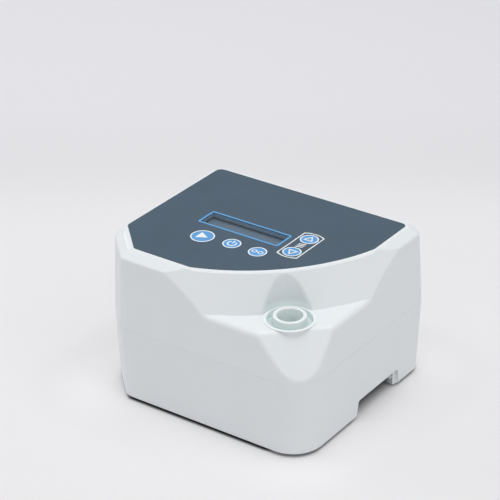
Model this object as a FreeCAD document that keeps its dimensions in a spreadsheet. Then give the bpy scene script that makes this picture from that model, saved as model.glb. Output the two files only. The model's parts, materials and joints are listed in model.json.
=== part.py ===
"""CPAP machine: two moulded shells, a flush keypad, an electronics deck and a sprung blower.

Frame: origin under the middle of the case, on the table; +X to the user's right, +Y to the
back edge, +Z up. Millimetres.
"""
import FreeCAD, Part
import math
import os

import Sketcher
from FreeCAD import Placement, Rotation, Vector

doc = FreeCAD.newDocument("cpap_machine")

# ---------------------------------------------------------------- sizes

SIZES = {
    # case, at the parting line unless said otherwise
    "case_width": 170.6,
    "case_depth": 151.6,
    "case_height": 111.5,
    "foot_height": 2.0,
    "lid_height": 55.6,
    "wall": 2.6,
    "floor": 2.5,
    "upper_draft": 2.25,
    "left_draft": 0.5,
    "lower_draft": 1.56,
    "back_corner": 10.7,
    "outlet_corner": 22.0,
    "chamfer_leg": 25.0,
    "chamfer_round": 10.0,
    "seam_bevel": 0.15,
    "base_bevel": 1.2,
    "shoulder_drop": 4.9,
    "rim_width": 2.0,
    "top_thickness": 2.7,
    # control panel
    "panel_margin": 10.85,
    "panel_left_margin": 5.45,
    "panel_chamfer": 24.4,
    "panel_corner": 4.5,
    "panel_arc": 133.5,
    "panel_scoop": 61.6,
    "film_recess": 0.6,
    "film_thickness": 0.5,
    "film_edge": 0.1,
    # scoop round the outlet, measured inward along the diagonal of the front right corner
    "scoop_offset": 1.0,
    "scoop_lip": 1.8,
    "shelf_drop": 25.5,
    "apron_foot": 48.9,
    "apron_arc": 170.0,
    "face_top": 27.7,
    "face_slope": 0.675,
    "scoop_round": 4.0,
    "scallop_round": 3.0,
    "shoulder_round": 2.0,
    "lip_round": 1.1,
    # air outlet
    "outlet_inset": 41.2,
    "tube_radius": 11.0,
    "tube_bore": 8.5,
    "tube_rise": 3.3,
    "tube_drop": 20.0,
    "outlet_rim_rise": 0.5,
    "outlet_rim_radius": 16.1,
    "cup_radius": 15.1,
    "cup_depth": 12.0,
    "flange_radius": 14.6,
    "flange_thickness": 1.2,
    "scallop_radius": 17.7,
    # keypad's origin, from the walls that meet at the scoop
    "keypad_from_right": 85.3,
    "keypad_from_front": 75.8,
    # display, from the keypad's origin
    "window_x": -12.2,
    "window_y": -0.7,
    "window_width": 62.0,
    "window_depth": 14.6,
    "lcd_width": 71.2,
    "lcd_depth": 25.2,
    "lcd_height": 7.0,
    # keys, from the keypad's origin
    "start_x": -28.9,
    "start_y": -25.35,
    "power_x": -6.9,
    "ramp_x": 13.6,
    "key_row_y": -23.0,
    "rocker_x": 31.9,
    "rocker_y": 0.15,
    "rocker_pitch": 20.7,
    "start_radius": 8.3,
    "key_radius": 6.4,
    "key_gap": 0.3,
    "key_thickness": 1.4,
    "key_travel": 0.5,
    "stem_radius": 2.5,
    "stem_clearance": 0.06,
    "collar_radius": 3.6,
    "collar_thickness": 1.0,
    "stem_length": 6.1,
    "switch_side": 6.0,
    "switch_height": 3.5,
    "switch_button": 1.75,
    # control board, hung from the lid on four posts
    "board_thickness": 1.6,
    "board_drop": 11.9,
    "board_margin": 23.3,
    "board_right": 40.0,
    "board_front": -34.0,
    "board_back": 30.0,
    "board_post": 3.0,
    "board_inset": 4.5,
    "small_screw": 1.25,
    "small_head": 2.4,
    "small_head_height": 1.8,
    "small_screw_length": 7.0,
    # blower
    "blower_from_right": 105.3,
    "blower_base": 16.0,
    "scroll_radius": 31.8,
    "scroll_growth": 4.5,
    "scroll_height": 17.0,
    "scroll_wall": 2.0,
    "duct_length": 22.0,
    "duct_width": 17.0,
    "duct_outer": 9.8,
    "duct_bore": 8.2,
    "spigot_length": 12.5,
    "inlet_eye": 13.0,
    "impeller_radius": 27.0,
    "impeller_gap": 1.2,
    "blade_height": 9.5,
    "blade_arc": 19.0,
    "blade_thickness": 1.0,
    "blade_inner": 12.0,
    "disc_thickness": 1.5,
    "hub_radius": 6.0,
    "shaft_radius": 2.0,
    "bearing_clearance": 0.02,
    "bearing_radius": 5.0,
    "bearing_width": 4.0,
    "bearing_tube": 6.5,
    "bearing_tube_height": 18.0,
    "stator_radius": 15.8,
    "stator_height": 10.0,
    "stator_lift": 4.0,
    "magnet_inner": 16.6,
    "magnet_outer": 18.6,
    "can_radius": 20.0,
    "can_wall": 1.4,
    "can_lift": 2.0,
    "ear_radius": 3.4,
    "mount_radius": 5.0,
    "mount_waist": 3.6,
    "mount_circle": 23.0,
    "mount_height": 7.0,
    "mount_nipple": 2.0,
    # outlet duct
    "bend_radius": 18.0,
    "coupling_gap": 8.0,
    "bellows_grip": 5.0,
    "bellows_wall": 1.2,
    "bellows_fold": 2.0,
    "socket_wall": 1.8,
    "socket_gap": 0.15,
    "seal_section": 0.6,
    "nipple_offset": 8.0,
    "nipple_radius": 1.5,
    "nipple_height": 5.0,
    "hose_wall": 0.8,
    "sensor_y": -29.0,
    "sensor_height": 5.0,
    "hose_rise": 19.0,
    "hose_drop": 16.7,
    "hose_bend": 10.0,
    # air inlet in the base
    "notch_height": 14.4,
    "notch_front": -7.6,
    "notch_back": 41.5,
    "notch_flare": 2.2,
    "notch_strip": 3.0,
    "channel_length": 45.3,
    "channel_step": 1.5,
    "tray_stop": 3.0,
    "tray_length": 31.0,
    "tray_width": 44.0,
    "tray_height": 5.0,
    "tray_wall": 1.2,
    "tray_gap": 0.3,
    "tray_bar": 2.0,
    "tray_margin": 4.0,
    "pull_width": 18.0,
    "pull_height": 4.5,
    "slide_gap": 0.05,
    "rail_thickness": 1.4,
    "foam_height": 24.0,
    # power inlet
    "power_margin": 7.3,
    "power_back_margin": 5.8,
    "power_width": 40.0,
    "power_depth": 30.0,
    "power_board_height": 24.0,
    "jack_offset": 22.0,
    "jack_barrel": 5.0,
    "jack_bore": 3.2,
    "jack_pin": 1.0,
    "jack_width": 12.0,
    "jack_length": 14.0,
    "capacitor_radius": 5.0,
    "capacitor_height": 16.0,
    # fasteners and feet
    "foot_radius": 7.0,
    "foot_recess": 1.0,
    "post_radius": 4.6,
    "boss_radius": 4.5,
    "boss_length": 20.0,
    "boss_offset": 6.7,
    "case_screw": 1.5,
    "case_screw_head": 2.9,
    "case_screw_head_height": 2.4,
    "case_screw_bite": 10.0,
    "screw_web": 3.0,
    "fit": 0.03,
    "body_gap": 0.3,
}


class Size:
    """A length, and the expression that gives it from the sheet."""

    def __init__(self, number, text):
        self.number = number
        self.text = text

    @staticmethod
    def of(other):
        """A plain number as a Size of its own."""
        if isinstance(other, Size):
            return other
        return Size(float(other), repr(float(other)))

    def __add__(self, other):
        other = Size.of(other)
        return Size(self.number + other.number, f"({self.text} + {other.text})")

    def __sub__(self, other):
        other = Size.of(other)
        return Size(self.number - other.number, f"({self.text} - {other.text})")

    def __mul__(self, other):
        other = Size.of(other)
        return Size(self.number*other.number, f"({self.text} * {other.text})")

    def __truediv__(self, other):
        other = Size.of(other)
        return Size(self.number/other.number, f"({self.text} / {other.text})")

    def __neg__(self):
        return Size.of(0) - self

    __radd__ = __add__
    __rmul__ = __mul__

    def __rsub__(self, other):
        return Size.of(other) - self


def make_sheet(name):
    """The spreadsheet of driving dimensions, one alias to a row."""
    sheet = doc.addObject("Spreadsheet::Sheet", name)
    for row, (alias, number) in enumerate(SIZES.items(), start=1):
        sheet.set(f"A{row}", alias)
        sheet.set(f"B{row}", str(number))
        sheet.setAlias(f"B{row}", alias)
    doc.recompute()
    return {alias: Size(number, f"{name}.{alias}") for alias, number in SIZES.items()}


size = make_sheet("Sizes")
ZERO = Size.of(0)
ROOT_TWO = math.sqrt(2)
LEG_GROWTH = 2 - ROOT_TWO     # how much a 45 degree corner cut shortens per mm of inset
FAR = size["case_width"]      # well outside the case, for cutting outlines

# ---------------------------------------------------------------- drawing helpers


def bind(item, prop, amount):
    """Tie a property to the sheet."""
    item.setExpression(prop, Size.of(amount).text)


def new_body(label):
    return doc.addObject("PartDesign::Body", label)


def origin_item(body, role):
    return next(item for item in body.Origin.OriginFeatures if item.Role == role)


def new_sketch(body, name, lift=ZERO, role="XY_Plane", turn=None, at=(ZERO, ZERO)):
    """A sketch on one of the body's own origin planes, lifted along its normal."""
    sketch = body.newObject("Sketcher::SketchObject", name)
    sketch.AttachmentSupport = [(origin_item(body, role), "")]
    sketch.MapMode = "FlatFace"
    base = [Size.of(amount) for amount in (*at, lift)]
    sketch.AttachmentOffset = Placement(Vector(*(amount.number for amount in base)), turn or Rotation())
    for axis, amount in zip("xyz", base):
        bind(sketch, f"AttachmentOffset.Base.{axis}", amount)
    return sketch


def upright_sketch(body, name, x, y, z=ZERO):
    """A sketch in a plane facing the front, with its own origin at a point."""
    return new_sketch(body, name, -Size.of(y), "XZ_Plane", at=(x, z))


def tie(sketch, kind, where, amount):
    """A dimension whose value comes from the sheet."""
    amount = Size.of(amount)
    index = sketch.addConstraint(Sketcher.Constraint(kind, *where, amount.number))
    sketch.setExpression(f"Constraints[{index}]", amount.text)


def pin_point(sketch, item, end, x, y):
    """Place a point of the sketch from the sketch's origin."""
    tie(sketch, "DistanceX", (-1, 1, item, end), x)
    tie(sketch, "DistanceY", (-1, 1, item, end), y)


def link(sketch, kind, *where):
    sketch.addConstraint(Sketcher.Constraint(kind, *where))


def spot(x, y):
    return Vector(Size.of(x).number, Size.of(y).number, 0)


def circle(sketch, x, y, radius):
    radius = Size.of(radius)
    item = sketch.addGeometry(Part.Circle(spot(x, y), Vector(0, 0, 1), radius.number))
    pin_point(sketch, item, 3, x, y)
    tie(sketch, "Radius", (item,), radius)
    return item


def corner_arc(before, at, after, radius):
    """Start, end and arc that round the corner at a point between two others."""
    into = (at - before).normalize()
    out = (after - at).normalize()
    turn = into.getAngle(out)
    reach = radius*math.tan(turn/2)
    start = at - into*reach
    end = at + out*reach
    left = into.cross(out).z > 0
    side = Vector(-into.y, into.x, 0) if left else Vector(into.y, -into.x, 0)
    centre = start + side*radius
    first, last = (start, end) if left else (end, start)
    angles = [math.atan2(point.y - centre.y, point.x - centre.x) for point in (first, last)]
    arc = Part.ArcOfCircle(Part.Circle(centre, Vector(0, 0, 1), radius), *angles)
    return start, end, arc, left


def polygon(sketch, corners, closed=True):
    """An outline through (x, y) or (x, y, radius) corners, or an open path along them."""
    points = [spot(*corner[:2]) for corner in corners]
    radii = [Size.of(corner[2]) if len(corner) > 2 else None for corner in corners]
    count = len(corners)
    rounds = {}
    for i, radius in enumerate(radii):
        if radius:
            rounds[i] = corner_arc(points[i - 1], points[i], points[(i + 1) % count], radius.number)
    lines = []
    for i in range(count if closed else count - 1):
        after = (i + 1) % count
        start = rounds[i][1] if i in rounds else points[i]
        end = rounds[after][0] if after in rounds else points[after]
        lines.append(sketch.addGeometry(Part.LineSegment(start, end)))
    if not closed:
        pin_point(sketch, lines[0], 1, *corners[0][:2])
        pin_point(sketch, lines[-1], 2, *corners[-1][:2])
    for i in range(count) if closed else range(1, count - 1):
        if i not in rounds:
            link(sketch, "Coincident", lines[i - 1], 2, lines[i], 1)
            pin_point(sketch, lines[i], 1, *corners[i][:2])
            continue
        arc = sketch.addGeometry(rounds[i][2])
        first, last = (1, 2) if rounds[i][3] else (2, 1)
        link(sketch, "Tangent", lines[i - 1], 2, arc, first)
        link(sketch, "Tangent", arc, last, lines[i], 1)
        tie(sketch, "Radius", (arc,), radii[i])
        vertex = sketch.addGeometry(Part.Point(points[i]), True)
        pin_point(sketch, vertex, 1, *corners[i][:2])
        link(sketch, "PointOnObject", vertex, 1, lines[i - 1])
        link(sketch, "PointOnObject", vertex, 1, lines[i])


def rectangle(sketch, left, front, right, back, radius=None):
    tail = (radius,) if radius else ()
    polygon(sketch, [(left, front, *tail), (right, front, *tail),
                     (right, back, *tail), (left, back, *tail)])


def discs(body, name, z, places, radius):
    """A level sketch of equal circles."""
    sketch = new_sketch(body, name, z)
    for x, y in places:
        circle(sketch, x, y, radius)
    return sketch


def plate(body, name, z, left, front, right, back, radius=None):
    """A level sketch of a rectangle."""
    sketch = new_sketch(body, name, z)
    rectangle(sketch, left, front, right, back, radius)
    return sketch


def feature(body, kind, name, profile):
    item = body.newObject(f"PartDesign::{kind}", name)
    item.Profile = profile
    profile.Visibility = False
    return item


def pad(body, profile, length, back=False, both=False):
    item = feature(body, "Pad", profile.Name + "_pad", profile)
    return finish_prism(item, length, back, both)


def pocket(body, profile, length, back=False, both=False):
    item = feature(body, "Pocket", profile.Name + "_cut", profile)
    return finish_prism(item, length, back, both)


def finish_prism(item, length, back, both):
    bind(item, "Length", length)
    item.Reversed = back
    if both:
        item.SideType = "Symmetric"
    return item


def revolve(body, profile, kind="Revolution", axis="V_Axis"):
    item = feature(body, kind, profile.Name + "_turned", profile)
    item.ReferenceAxis = (profile, [axis])
    item.Angle = 360
    return item


def loft(body, profiles, kind="AdditiveLoft"):
    """A ruled skin through closed outlines with the same number of sides."""
    item = feature(body, kind, profiles[0].Name + "_loft", profiles[0])
    item.Sections = profiles[1:]
    item.Ruled = True
    for profile in profiles[1:]:
        profile.Visibility = False
    return item


def sweep(body, profile, path, kind="AdditivePipe"):
    """Carry an outline along a path."""
    item = feature(body, kind, profile.Name + "_swept", profile)
    item.Spine = (path, [])
    path.Visibility = False
    return item


def pattern(body, originals, count):
    """Copies round the upright axis of the first outline."""
    item = body.newObject("PartDesign::PolarPattern", originals[0].Name + "_ring")
    item.Originals = originals
    item.Axis = (originals[0].Profile[0], ["N_Axis"])
    item.Angle = 360
    item.Occurrences = count
    body.Tip = item
    return item


def put(item, x, y, z):
    """Bind where an object stands."""
    for axis, amount in zip("xyz", (x, y, z)):
        bind(item, f"Placement.Base.{axis}", amount)
    return item


def box(label, low, high):
    """A block between two corners."""
    item = doc.addObject("Part::Box", label)
    for prop, start, end in zip(("Length", "Width", "Height"), low, high):
        bind(item, prop, Size.of(end) - Size.of(start))
    return put(item, *low)


def cylinder(label, x, y, z, radius, height):
    """An upright cylinder standing on a point."""
    item = doc.addObject("Part::Cylinder", label)
    bind(item, "Radius", radius)
    bind(item, "Height", height)
    return put(item, x, y, z)


def cone(label, x, y, z, low_radius, high_radius, height):
    item = doc.addObject("Part::Cone", label)
    bind(item, "Radius1", low_radius)
    bind(item, "Radius2", high_radius)
    bind(item, "Height", height)
    return put(item, x, y, z)


def hexagon(label, x, y, z, circumradius, height):
    item = doc.addObject("Part::Prism", label)
    item.Polygon = 6
    bind(item, "Circumradius", circumradius)
    bind(item, "Height", height)
    return put(item, x, y, z)


def union(label, pieces):
    item = doc.addObject("Part::MultiFuse", label)
    item.Shapes = pieces
    return item


def remove(label, base, tools):
    """The base less every tool."""
    item = doc.addObject("Part::Cut", label)
    item.Base = base
    item.Tool = tools[0] if len(tools) == 1 else union(label + "_tools", tools)
    return item


def group(label, pieces):
    """Separate solids of one kind that share a node."""
    item = doc.addObject("Part::Compound", label)
    item.Links = pieces
    return item


def screw(label, x, y, seat, head_radius, head_height, radius, length, points_up=False):
    """Pan head screw with a hexagon socket; the head's underside sits at seat."""
    head_foot = seat - head_height if points_up else seat
    shank_foot = seat if points_up else seat - length
    overlap = Size.of(0.2)
    head = cylinder(label + "_head", x, y, head_foot, head_radius, head_height)
    shank_start = shank_foot - overlap if points_up else shank_foot
    shank = cylinder(label + "_shank", x, y, shank_start, radius, length + overlap)
    socket_foot = head_foot - 1 if points_up else seat + 0.4*head_height
    socket = hexagon(label + "_socket", x, y, socket_foot, 0.5*head_radius, 0.6*head_height + 1)
    return remove(label, union(label + "_blank", [head, shank]), [socket])


DIAGONAL = Rotation(Vector(0, 0, 1), -45)
DIAGONAL_UPRIGHT = Rotation(Vector(0, 1, 0), -45)


def from_diagonal(reach, shift):
    """Plan position of a point given along and across the front right diagonal."""
    return (reach + shift)/ROOT_TWO, (shift - reach)/ROOT_TWO


# ---------------------------------------------------------------- derived places

HALF_WIDTH = size["case_width"]/2
HALF_DEPTH = size["case_depth"]/2
TOP = size["case_height"]
PARTING = TOP - size["lid_height"]
SHOULDER = TOP - size["shoulder_drop"]
FILM_SEAT = TOP - size["film_recess"]
FILM_TOP = FILM_SEAT + size["film_thickness"]
CEILING = FILM_SEAT - size["top_thickness"]
BASE = size["foot_height"]
FLOOR_TOP = BASE + size["floor"]
SHELF = TOP - size["shelf_drop"]
PANEL_LEFT = size["panel_left_margin"] - HALF_WIDTH
PANEL_RIGHT = HALF_WIDTH - size["panel_margin"]
PANEL_BACK = HALF_DEPTH - size["panel_margin"]
CORNER_REACH = (HALF_WIDTH + HALF_DEPTH)/ROOT_TWO
SCOOP_SHIFT = (HALF_WIDTH - HALF_DEPTH)/ROOT_TWO - size["scoop_offset"]
PANEL_REACH = CORNER_REACH - size["panel_scoop"]
APRON_REACH = CORNER_REACH - size["apron_foot"]
FACE_REACH = CORNER_REACH - size["face_top"]
OUTLET_REACH = CORNER_REACH - size["outlet_inset"]
OUTLET = from_diagonal(OUTLET_REACH, SCOOP_SHIFT)
OUTLET_X, OUTLET_Y = OUTLET
TUBE_TOP = SHELF + size["tube_rise"]
TUBE_FOOT = SHELF - size["tube_drop"]
OUTLET_RIM = SHELF + size["outlet_rim_rise"]
CUP_FLOOR = OUTLET_RIM - size["cup_depth"]
BLOWER_X = HALF_WIDTH - size["blower_from_right"]
BLOWER_Y = OUTLET_Y + size["scroll_radius"] + 2.5*size["scroll_growth"] - size["duct_width"]/2
SCROLL_FLOOR = size["blower_base"] + size["scroll_wall"]
SCROLL_TOP = SCROLL_FLOOR + size["scroll_height"]
COVER_TOP = SCROLL_TOP + size["scroll_wall"]
DUCT_Z = SCROLL_FLOOR + size["scroll_height"]/2
BEARING_TOP = COVER_TOP + size["bearing_tube_height"]
DISC_TOP = SCROLL_TOP - size["impeller_gap"]
BLADE_TOP = DISC_TOP - size["disc_thickness"]
BLADE_BOTTOM = BLADE_TOP - size["blade_height"]
STATOR_FOOT = COVER_TOP + size["stator_lift"]
CAN_FOOT = COVER_TOP + size["can_lift"]
CAN_TOP = BEARING_TOP + 2.5
PORT_UNDERSIDE = CUP_FLOOR - size["wall"]
SEAL_RADIUS = size["tube_radius"] + size["socket_gap"] - 0.02 - size["seal_section"]
DUCT_END = BLOWER_X + size["duct_length"]
SPIGOT_END = DUCT_END + size["spigot_length"]
ELBOW_START = SPIGOT_END + size["coupling_gap"]
NIPPLE_X = ELBOW_START + size["nipple_offset"]
CHANNEL_TOP = size["notch_height"]
CHANNEL_END = HALF_WIDTH - size["channel_length"]
ROOF_TOP = CHANNEL_TOP + size["floor"]
CHANNEL_FRONT = size["notch_front"] - size["notch_flare"] - size["channel_step"]
CHANNEL_BACK = size["notch_back"] + size["notch_flare"] + size["channel_step"]
TRAY_Y = (size["notch_front"] + size["notch_back"])/2
TRAY_LEFT = CHANNEL_END + size["tray_stop"]
TRAY_RIGHT = TRAY_LEFT + size["tray_length"]
TRAY_TOP = CHANNEL_TOP - size["tray_gap"]
TRAY_BOTTOM = TRAY_TOP - size["tray_height"]
BOARD_TOP = TOP - size["board_drop"]
BOARD_BOTTOM = BOARD_TOP - size["board_thickness"]
POWER_BOARD_TOP = size["power_board_height"] + size["board_thickness"]
POWER_LEFT = size["power_margin"] - HALF_WIDTH
POWER_RIGHT = POWER_LEFT + size["power_width"]
POWER_BACK = HALF_DEPTH - size["power_back_margin"]
POWER_FRONT = POWER_BACK - size["power_depth"]
JACK_X = POWER_LEFT + size["jack_offset"]
JACK_Z = POWER_BOARD_TOP + size["jack_barrel"] + 0.5
STEM_BOTTOM = FILM_TOP - size["stem_length"]
BUTTON_TOP = STEM_BOTTOM - size["key_travel"] - size["body_gap"]
KEYPAD_X = HALF_WIDTH - size["keypad_from_right"]
KEYPAD_Y = size["keypad_from_front"] - HALF_DEPTH
WINDOW_X = KEYPAD_X + size["window_x"]
WINDOW_Y = KEYPAD_Y + size["window_y"]
KEY_ROW_Y = KEYPAD_Y + size["key_row_y"]
ROCKER_X = KEYPAD_X + size["rocker_x"]
ROCKER_Y = KEYPAD_Y + size["rocker_y"]
BOARD_LEFT = size["board_margin"] - HALF_WIDTH
BOARD_RIGHT = KEYPAD_X + size["board_right"]
BOARD_FRONT = KEYPAD_Y + size["board_front"]
BOARD_BACK = KEYPAD_Y + size["board_back"]
SENSOR_Y = KEYPAD_Y + size["sensor_y"]

KEYS = {
    "key_start": (KEYPAD_X + size["start_x"], KEYPAD_Y + size["start_y"], size["start_radius"]),
    "key_power": (KEYPAD_X + size["power_x"], KEY_ROW_Y, size["key_radius"]),
    "key_ramp": (KEYPAD_X + size["ramp_x"], KEY_ROW_Y, size["key_radius"]),
    "key_up": (ROCKER_X, ROCKER_Y + size["rocker_pitch"]/2, size["key_radius"]),
    "key_down": (ROCKER_X, ROCKER_Y - size["rocker_pitch"]/2, size["key_radius"]),
}
EDGE = size["boss_offset"]
CASE_SCREWS = ((POWER_RIGHT + 20, HALF_DEPTH - EDGE), (HALF_WIDTH - 27.3, HALF_DEPTH - EDGE),
               (EDGE - HALF_WIDTH, 39.8 - HALF_DEPTH), (HALF_WIDTH - 63.3, EDGE - HALF_DEPTH))
FEET = ((13.3 - HALF_WIDTH, HALF_DEPTH - 15.8), (HALF_WIDTH - 12.3, HALF_DEPTH - 15.8),
        (29.3 - HALF_WIDTH, 17.8 - HALF_DEPTH), (HALF_WIDTH - 21.3, 19.8 - HALF_DEPTH))


def board_corners(left, right, front, back):
    """Screw places in the four corners of a circuit board."""
    inset = size["board_inset"]
    return [(x, y) for x in (left + inset, right - inset) for y in (front + inset, back - inset)]


BOARD_POSTS = board_corners(BOARD_LEFT, BOARD_RIGHT, BOARD_FRONT, BOARD_BACK)
POWER_POSTS = board_corners(POWER_LEFT, POWER_RIGHT, POWER_FRONT, POWER_BACK)

# ---------------------------------------------------------------- case


def case_plan(body, name, z, sides, leg, radii, inset=ZERO):
    """Plan of the case at one height: a rounded rectangle with its front left corner cut off.

    sides are left, front, right and back; radii are the chamfer's, the outlet corner's and the
    two back corners'.
    """
    left, front, right, back = sides
    chamfer_round, outlet_round, back_round = radii
    left, front = left + inset, front + inset
    right, back = right - inset, back - inset
    leg = leg - LEG_GROWTH*inset
    chamfer_round, outlet_round, back_round = (radius - inset for radius in radii)
    sketch = new_sketch(body, name, z)
    polygon(sketch, [(left + leg, front, chamfer_round), (right, front, outlet_round),
                     (right, back, back_round), (left, back, back_round),
                     (left, front + leg, chamfer_round)])
    return sketch


PARTING_SIDES = (-HALF_WIDTH, -HALF_DEPTH, HALF_WIDTH, HALF_DEPTH)
SHOULDER_SIDES = (-HALF_WIDTH + size["left_draft"], -HALF_DEPTH + size["upper_draft"],
                  HALF_WIDTH - size["upper_draft"], HALF_DEPTH - size["upper_draft"])
RIM_SIDES = (PANEL_LEFT - size["rim_width"], -PANEL_BACK - size["rim_width"],
             PANEL_RIGHT + size["rim_width"], PANEL_BACK + size["rim_width"])
BASE_SIDES = tuple(side + draft for side, draft in zip(
    PARTING_SIDES, (size["lower_draft"], size["lower_draft"], -size["lower_draft"], -size["lower_draft"])))
CASE_CORNERS = (size["chamfer_leg"], (size["chamfer_round"], size["outlet_corner"], size["back_corner"]))
RIM_LEG = size["panel_chamfer"] + LEG_GROWTH*size["rim_width"]
RIM_RADII = (size["panel_corner"] + size["rim_width"],
             size["outlet_corner"] - (SHOULDER_SIDES[2] - RIM_SIDES[2]),
             size["panel_corner"] + size["rim_width"])


def arc_cut(body, name, z, reach, radius):
    """Everything beyond an arc across the outlet diagonal, bulging towards the outlet."""
    shift = SCOOP_SHIFT
    half = HALF_WIDTH + 5
    sketch = new_sketch(body, name, z, turn=DIAGONAL)
    centre = spot(reach - radius, shift)
    angle = math.asin(half.number/radius.number)
    arc = sketch.addGeometry(Part.ArcOfCircle(
        Part.Circle(centre, Vector(0, 0, 1), radius.number), -angle, angle))
    ends = [centre + Vector(radius.number*math.cos(angle), way*half.number, 0) for way in (-1, 1)]
    corners = [Vector(FAR.number, end.y, 0) for end in ends]
    low = sketch.addGeometry(Part.LineSegment(ends[0], corners[0]))
    side = sketch.addGeometry(Part.LineSegment(corners[0], corners[1]))
    high = sketch.addGeometry(Part.LineSegment(corners[1], ends[1]))
    link(sketch, "Coincident", arc, 1, low, 1)
    link(sketch, "Coincident", low, 2, side, 1)
    link(sketch, "Coincident", side, 2, high, 1)
    link(sketch, "Coincident", high, 2, arc, 2)
    pin_point(sketch, arc, 3, reach - radius, shift)
    tie(sketch, "Radius", (arc,), radius)
    tie(sketch, "DistanceY", (-1, 1, low, 1), shift - half)
    tie(sketch, "DistanceY", (-1, 1, high, 2), shift + half)
    pin_point(sketch, side, 1, FAR, shift - half)
    pin_point(sketch, side, 2, FAR, shift + half)
    return sketch


def apron_at(z, inset):
    """Reach and radius of the sloping apron at a height, set inwards for the cavity."""
    rise = (z - SHELF)/(TOP - SHELF)
    top_reach = PANEL_REACH + size["scoop_lip"]
    top_arc = size["panel_arc"] + size["scoop_lip"]
    reach = APRON_REACH + (top_reach - APRON_REACH)*rise
    return reach - 1.1*inset, size["apron_arc"] + (top_arc - size["apron_arc"])*rise


def cut_scoop(body, tag, inset):
    """The recess round the outlet: apron, flat shelf, sloping corner face and hose scallop."""
    shelf = SHELF - inset
    above = TOP + 2
    low = arc_cut(body, tag + "_apron_foot", shelf, *apron_at(shelf, inset))
    high = arc_cut(body, tag + "_apron_head", above, *apron_at(above, inset))
    loft(body, [low, high], "SubtractiveLoft")
    slope = size["face_slope"]
    reach = FACE_REACH - 1.19*inset
    face = new_sketch(body, tag + "_face", ZERO, "XZ_Plane", DIAGONAL_UPRIGHT)
    polygon(face, [(reach + slope*(SHELF - PARTING + 1), PARTING - 1), (FAR, PARTING - 1),
                   (FAR, SHELF + 3), (reach - slope*3, SHELF + 3)])
    pocket(body, face, 2*FAR, both=True)
    scallop = new_sketch(body, tag + "_scallop", above)
    circle(scallop, OUTLET_X, OUTLET_Y, size["scallop_radius"] + inset)
    pocket(body, scallop, above - shelf)


def face_at(shape, point):
    """The face of a shape nearest a point."""
    return min(shape.Faces, key=lambda face: face.distToShape(Part.Vertex(point))[0])


def meet(edge, face):
    """Whether an edge bounds a face."""
    return any(edge.isSame(other) for other in face.Edges)


def between(faces, others):
    """The edges that some of the first faces share with some of the others."""
    return [edge for face in faces for edge in face.Edges if any(meet(edge, other) for other in others)]


def round_edges(body, name, edges, radius):
    """Round edges of the body's newest feature."""
    base = body.Tip
    names = sorted({f"Edge{i}" for i, edge in enumerate(base.Shape.Edges, start=1)
                    if any(edge.isSame(chosen) for chosen in edges)})
    item = body.newObject("PartDesign::Fillet", name)
    item.Base = (base, names)
    bind(item, "Radius", radius)
    doc.recompute()
    return item


def scoop_point(reach, across, z):
    x, y = from_diagonal(reach, SCOOP_SHIFT + across)
    return Vector(x.number, y.number, z.number)


def level_edges(shape, z):
    """Edges that lie at one height."""
    return [edge for edge in shape.Edges
            if all(abs(vertex.Z - z.number) < 0.01 for vertex in edge.Vertexes)
            and abs(edge.valueAt((edge.FirstParameter + edge.LastParameter)/2).z - z.number) < 0.01]


def soften_lid(body):
    """Moulded roundings: scoop edges, hose scallop, shoulder and panel rim."""
    doc.recompute()
    shape = body.Tip.Shape
    halfway = (SHELF + TOP)/2
    shelf = face_at(shape, scoop_point(FACE_REACH - 6, Size.of(-20), SHELF))
    face = face_at(shape, scoop_point(FACE_REACH + 5*size["face_slope"], ZERO, SHELF - 5))
    apron_point = scoop_point(apron_at(halfway, ZERO)[0], Size.of(25), halfway)
    apron = face_at(shape, apron_point)
    walls = [other for other in shape.Faces if PARTING.number < other.CenterOfMass.z < SHOULDER.number
             and not any(other.isSame(known) for known in (shelf, face, apron))
             and not isinstance(other.Surface, Part.Cylinder)]
    round_edges(body, "scoop_rounds", [*face.Edges, *between([shelf, apron], walls)], size["scoop_round"])
    shape = body.Tip.Shape
    scallop_point = scoop_point(OUTLET_REACH - size["scallop_radius"], ZERO, SHELF + 10)
    crest = between([face_at(shape, scallop_point)], [face_at(shape, apron_point)])
    round_edges(body, "scallop_rounds", crest, size["scallop_round"])
    round_edges(body, "shoulder_rounds", level_edges(body.Tip.Shape, SHOULDER), size["shoulder_round"])
    round_edges(body, "rim_rounds", level_edges(body.Tip.Shape, TOP), size["lip_round"])


def upper_skin(label, inset):
    """The upper case as a solid: its outside, or its cavity when inset by the wall."""
    body = new_body(label)
    tag = label
    if inset is ZERO:
        bevel = size["seam_bevel"]
        plans = [case_plan(body, tag + "_seam", PARTING, PARTING_SIDES, *CASE_CORNERS, bevel),
                 case_plan(body, tag + "_edge", PARTING + bevel, PARTING_SIDES, *CASE_CORNERS),
                 case_plan(body, tag + "_shoulder", SHOULDER, SHOULDER_SIDES, *CASE_CORNERS),
                 case_plan(body, tag + "_rim", TOP, RIM_SIDES, RIM_LEG, RIM_RADII)]
    else:
        plans = [case_plan(body, tag + "_mouth", PARTING - 1, PARTING_SIDES, *CASE_CORNERS, inset),
                 case_plan(body, tag + "_shoulder", SHOULDER - inset/2, SHOULDER_SIDES, *CASE_CORNERS, inset),
                 case_plan(body, tag + "_ceiling", CEILING, RIM_SIDES, RIM_LEG, RIM_RADII)]
    loft(body, plans)
    cut_scoop(body, tag, inset)
    return body


def hollow(body, cavity, name):
    """Take the cavity's body out of the shell's."""
    item = body.newObject("PartDesign::Boolean", name)
    item.Type = "Cut"
    item.setObjects([cavity])
    return item


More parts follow.
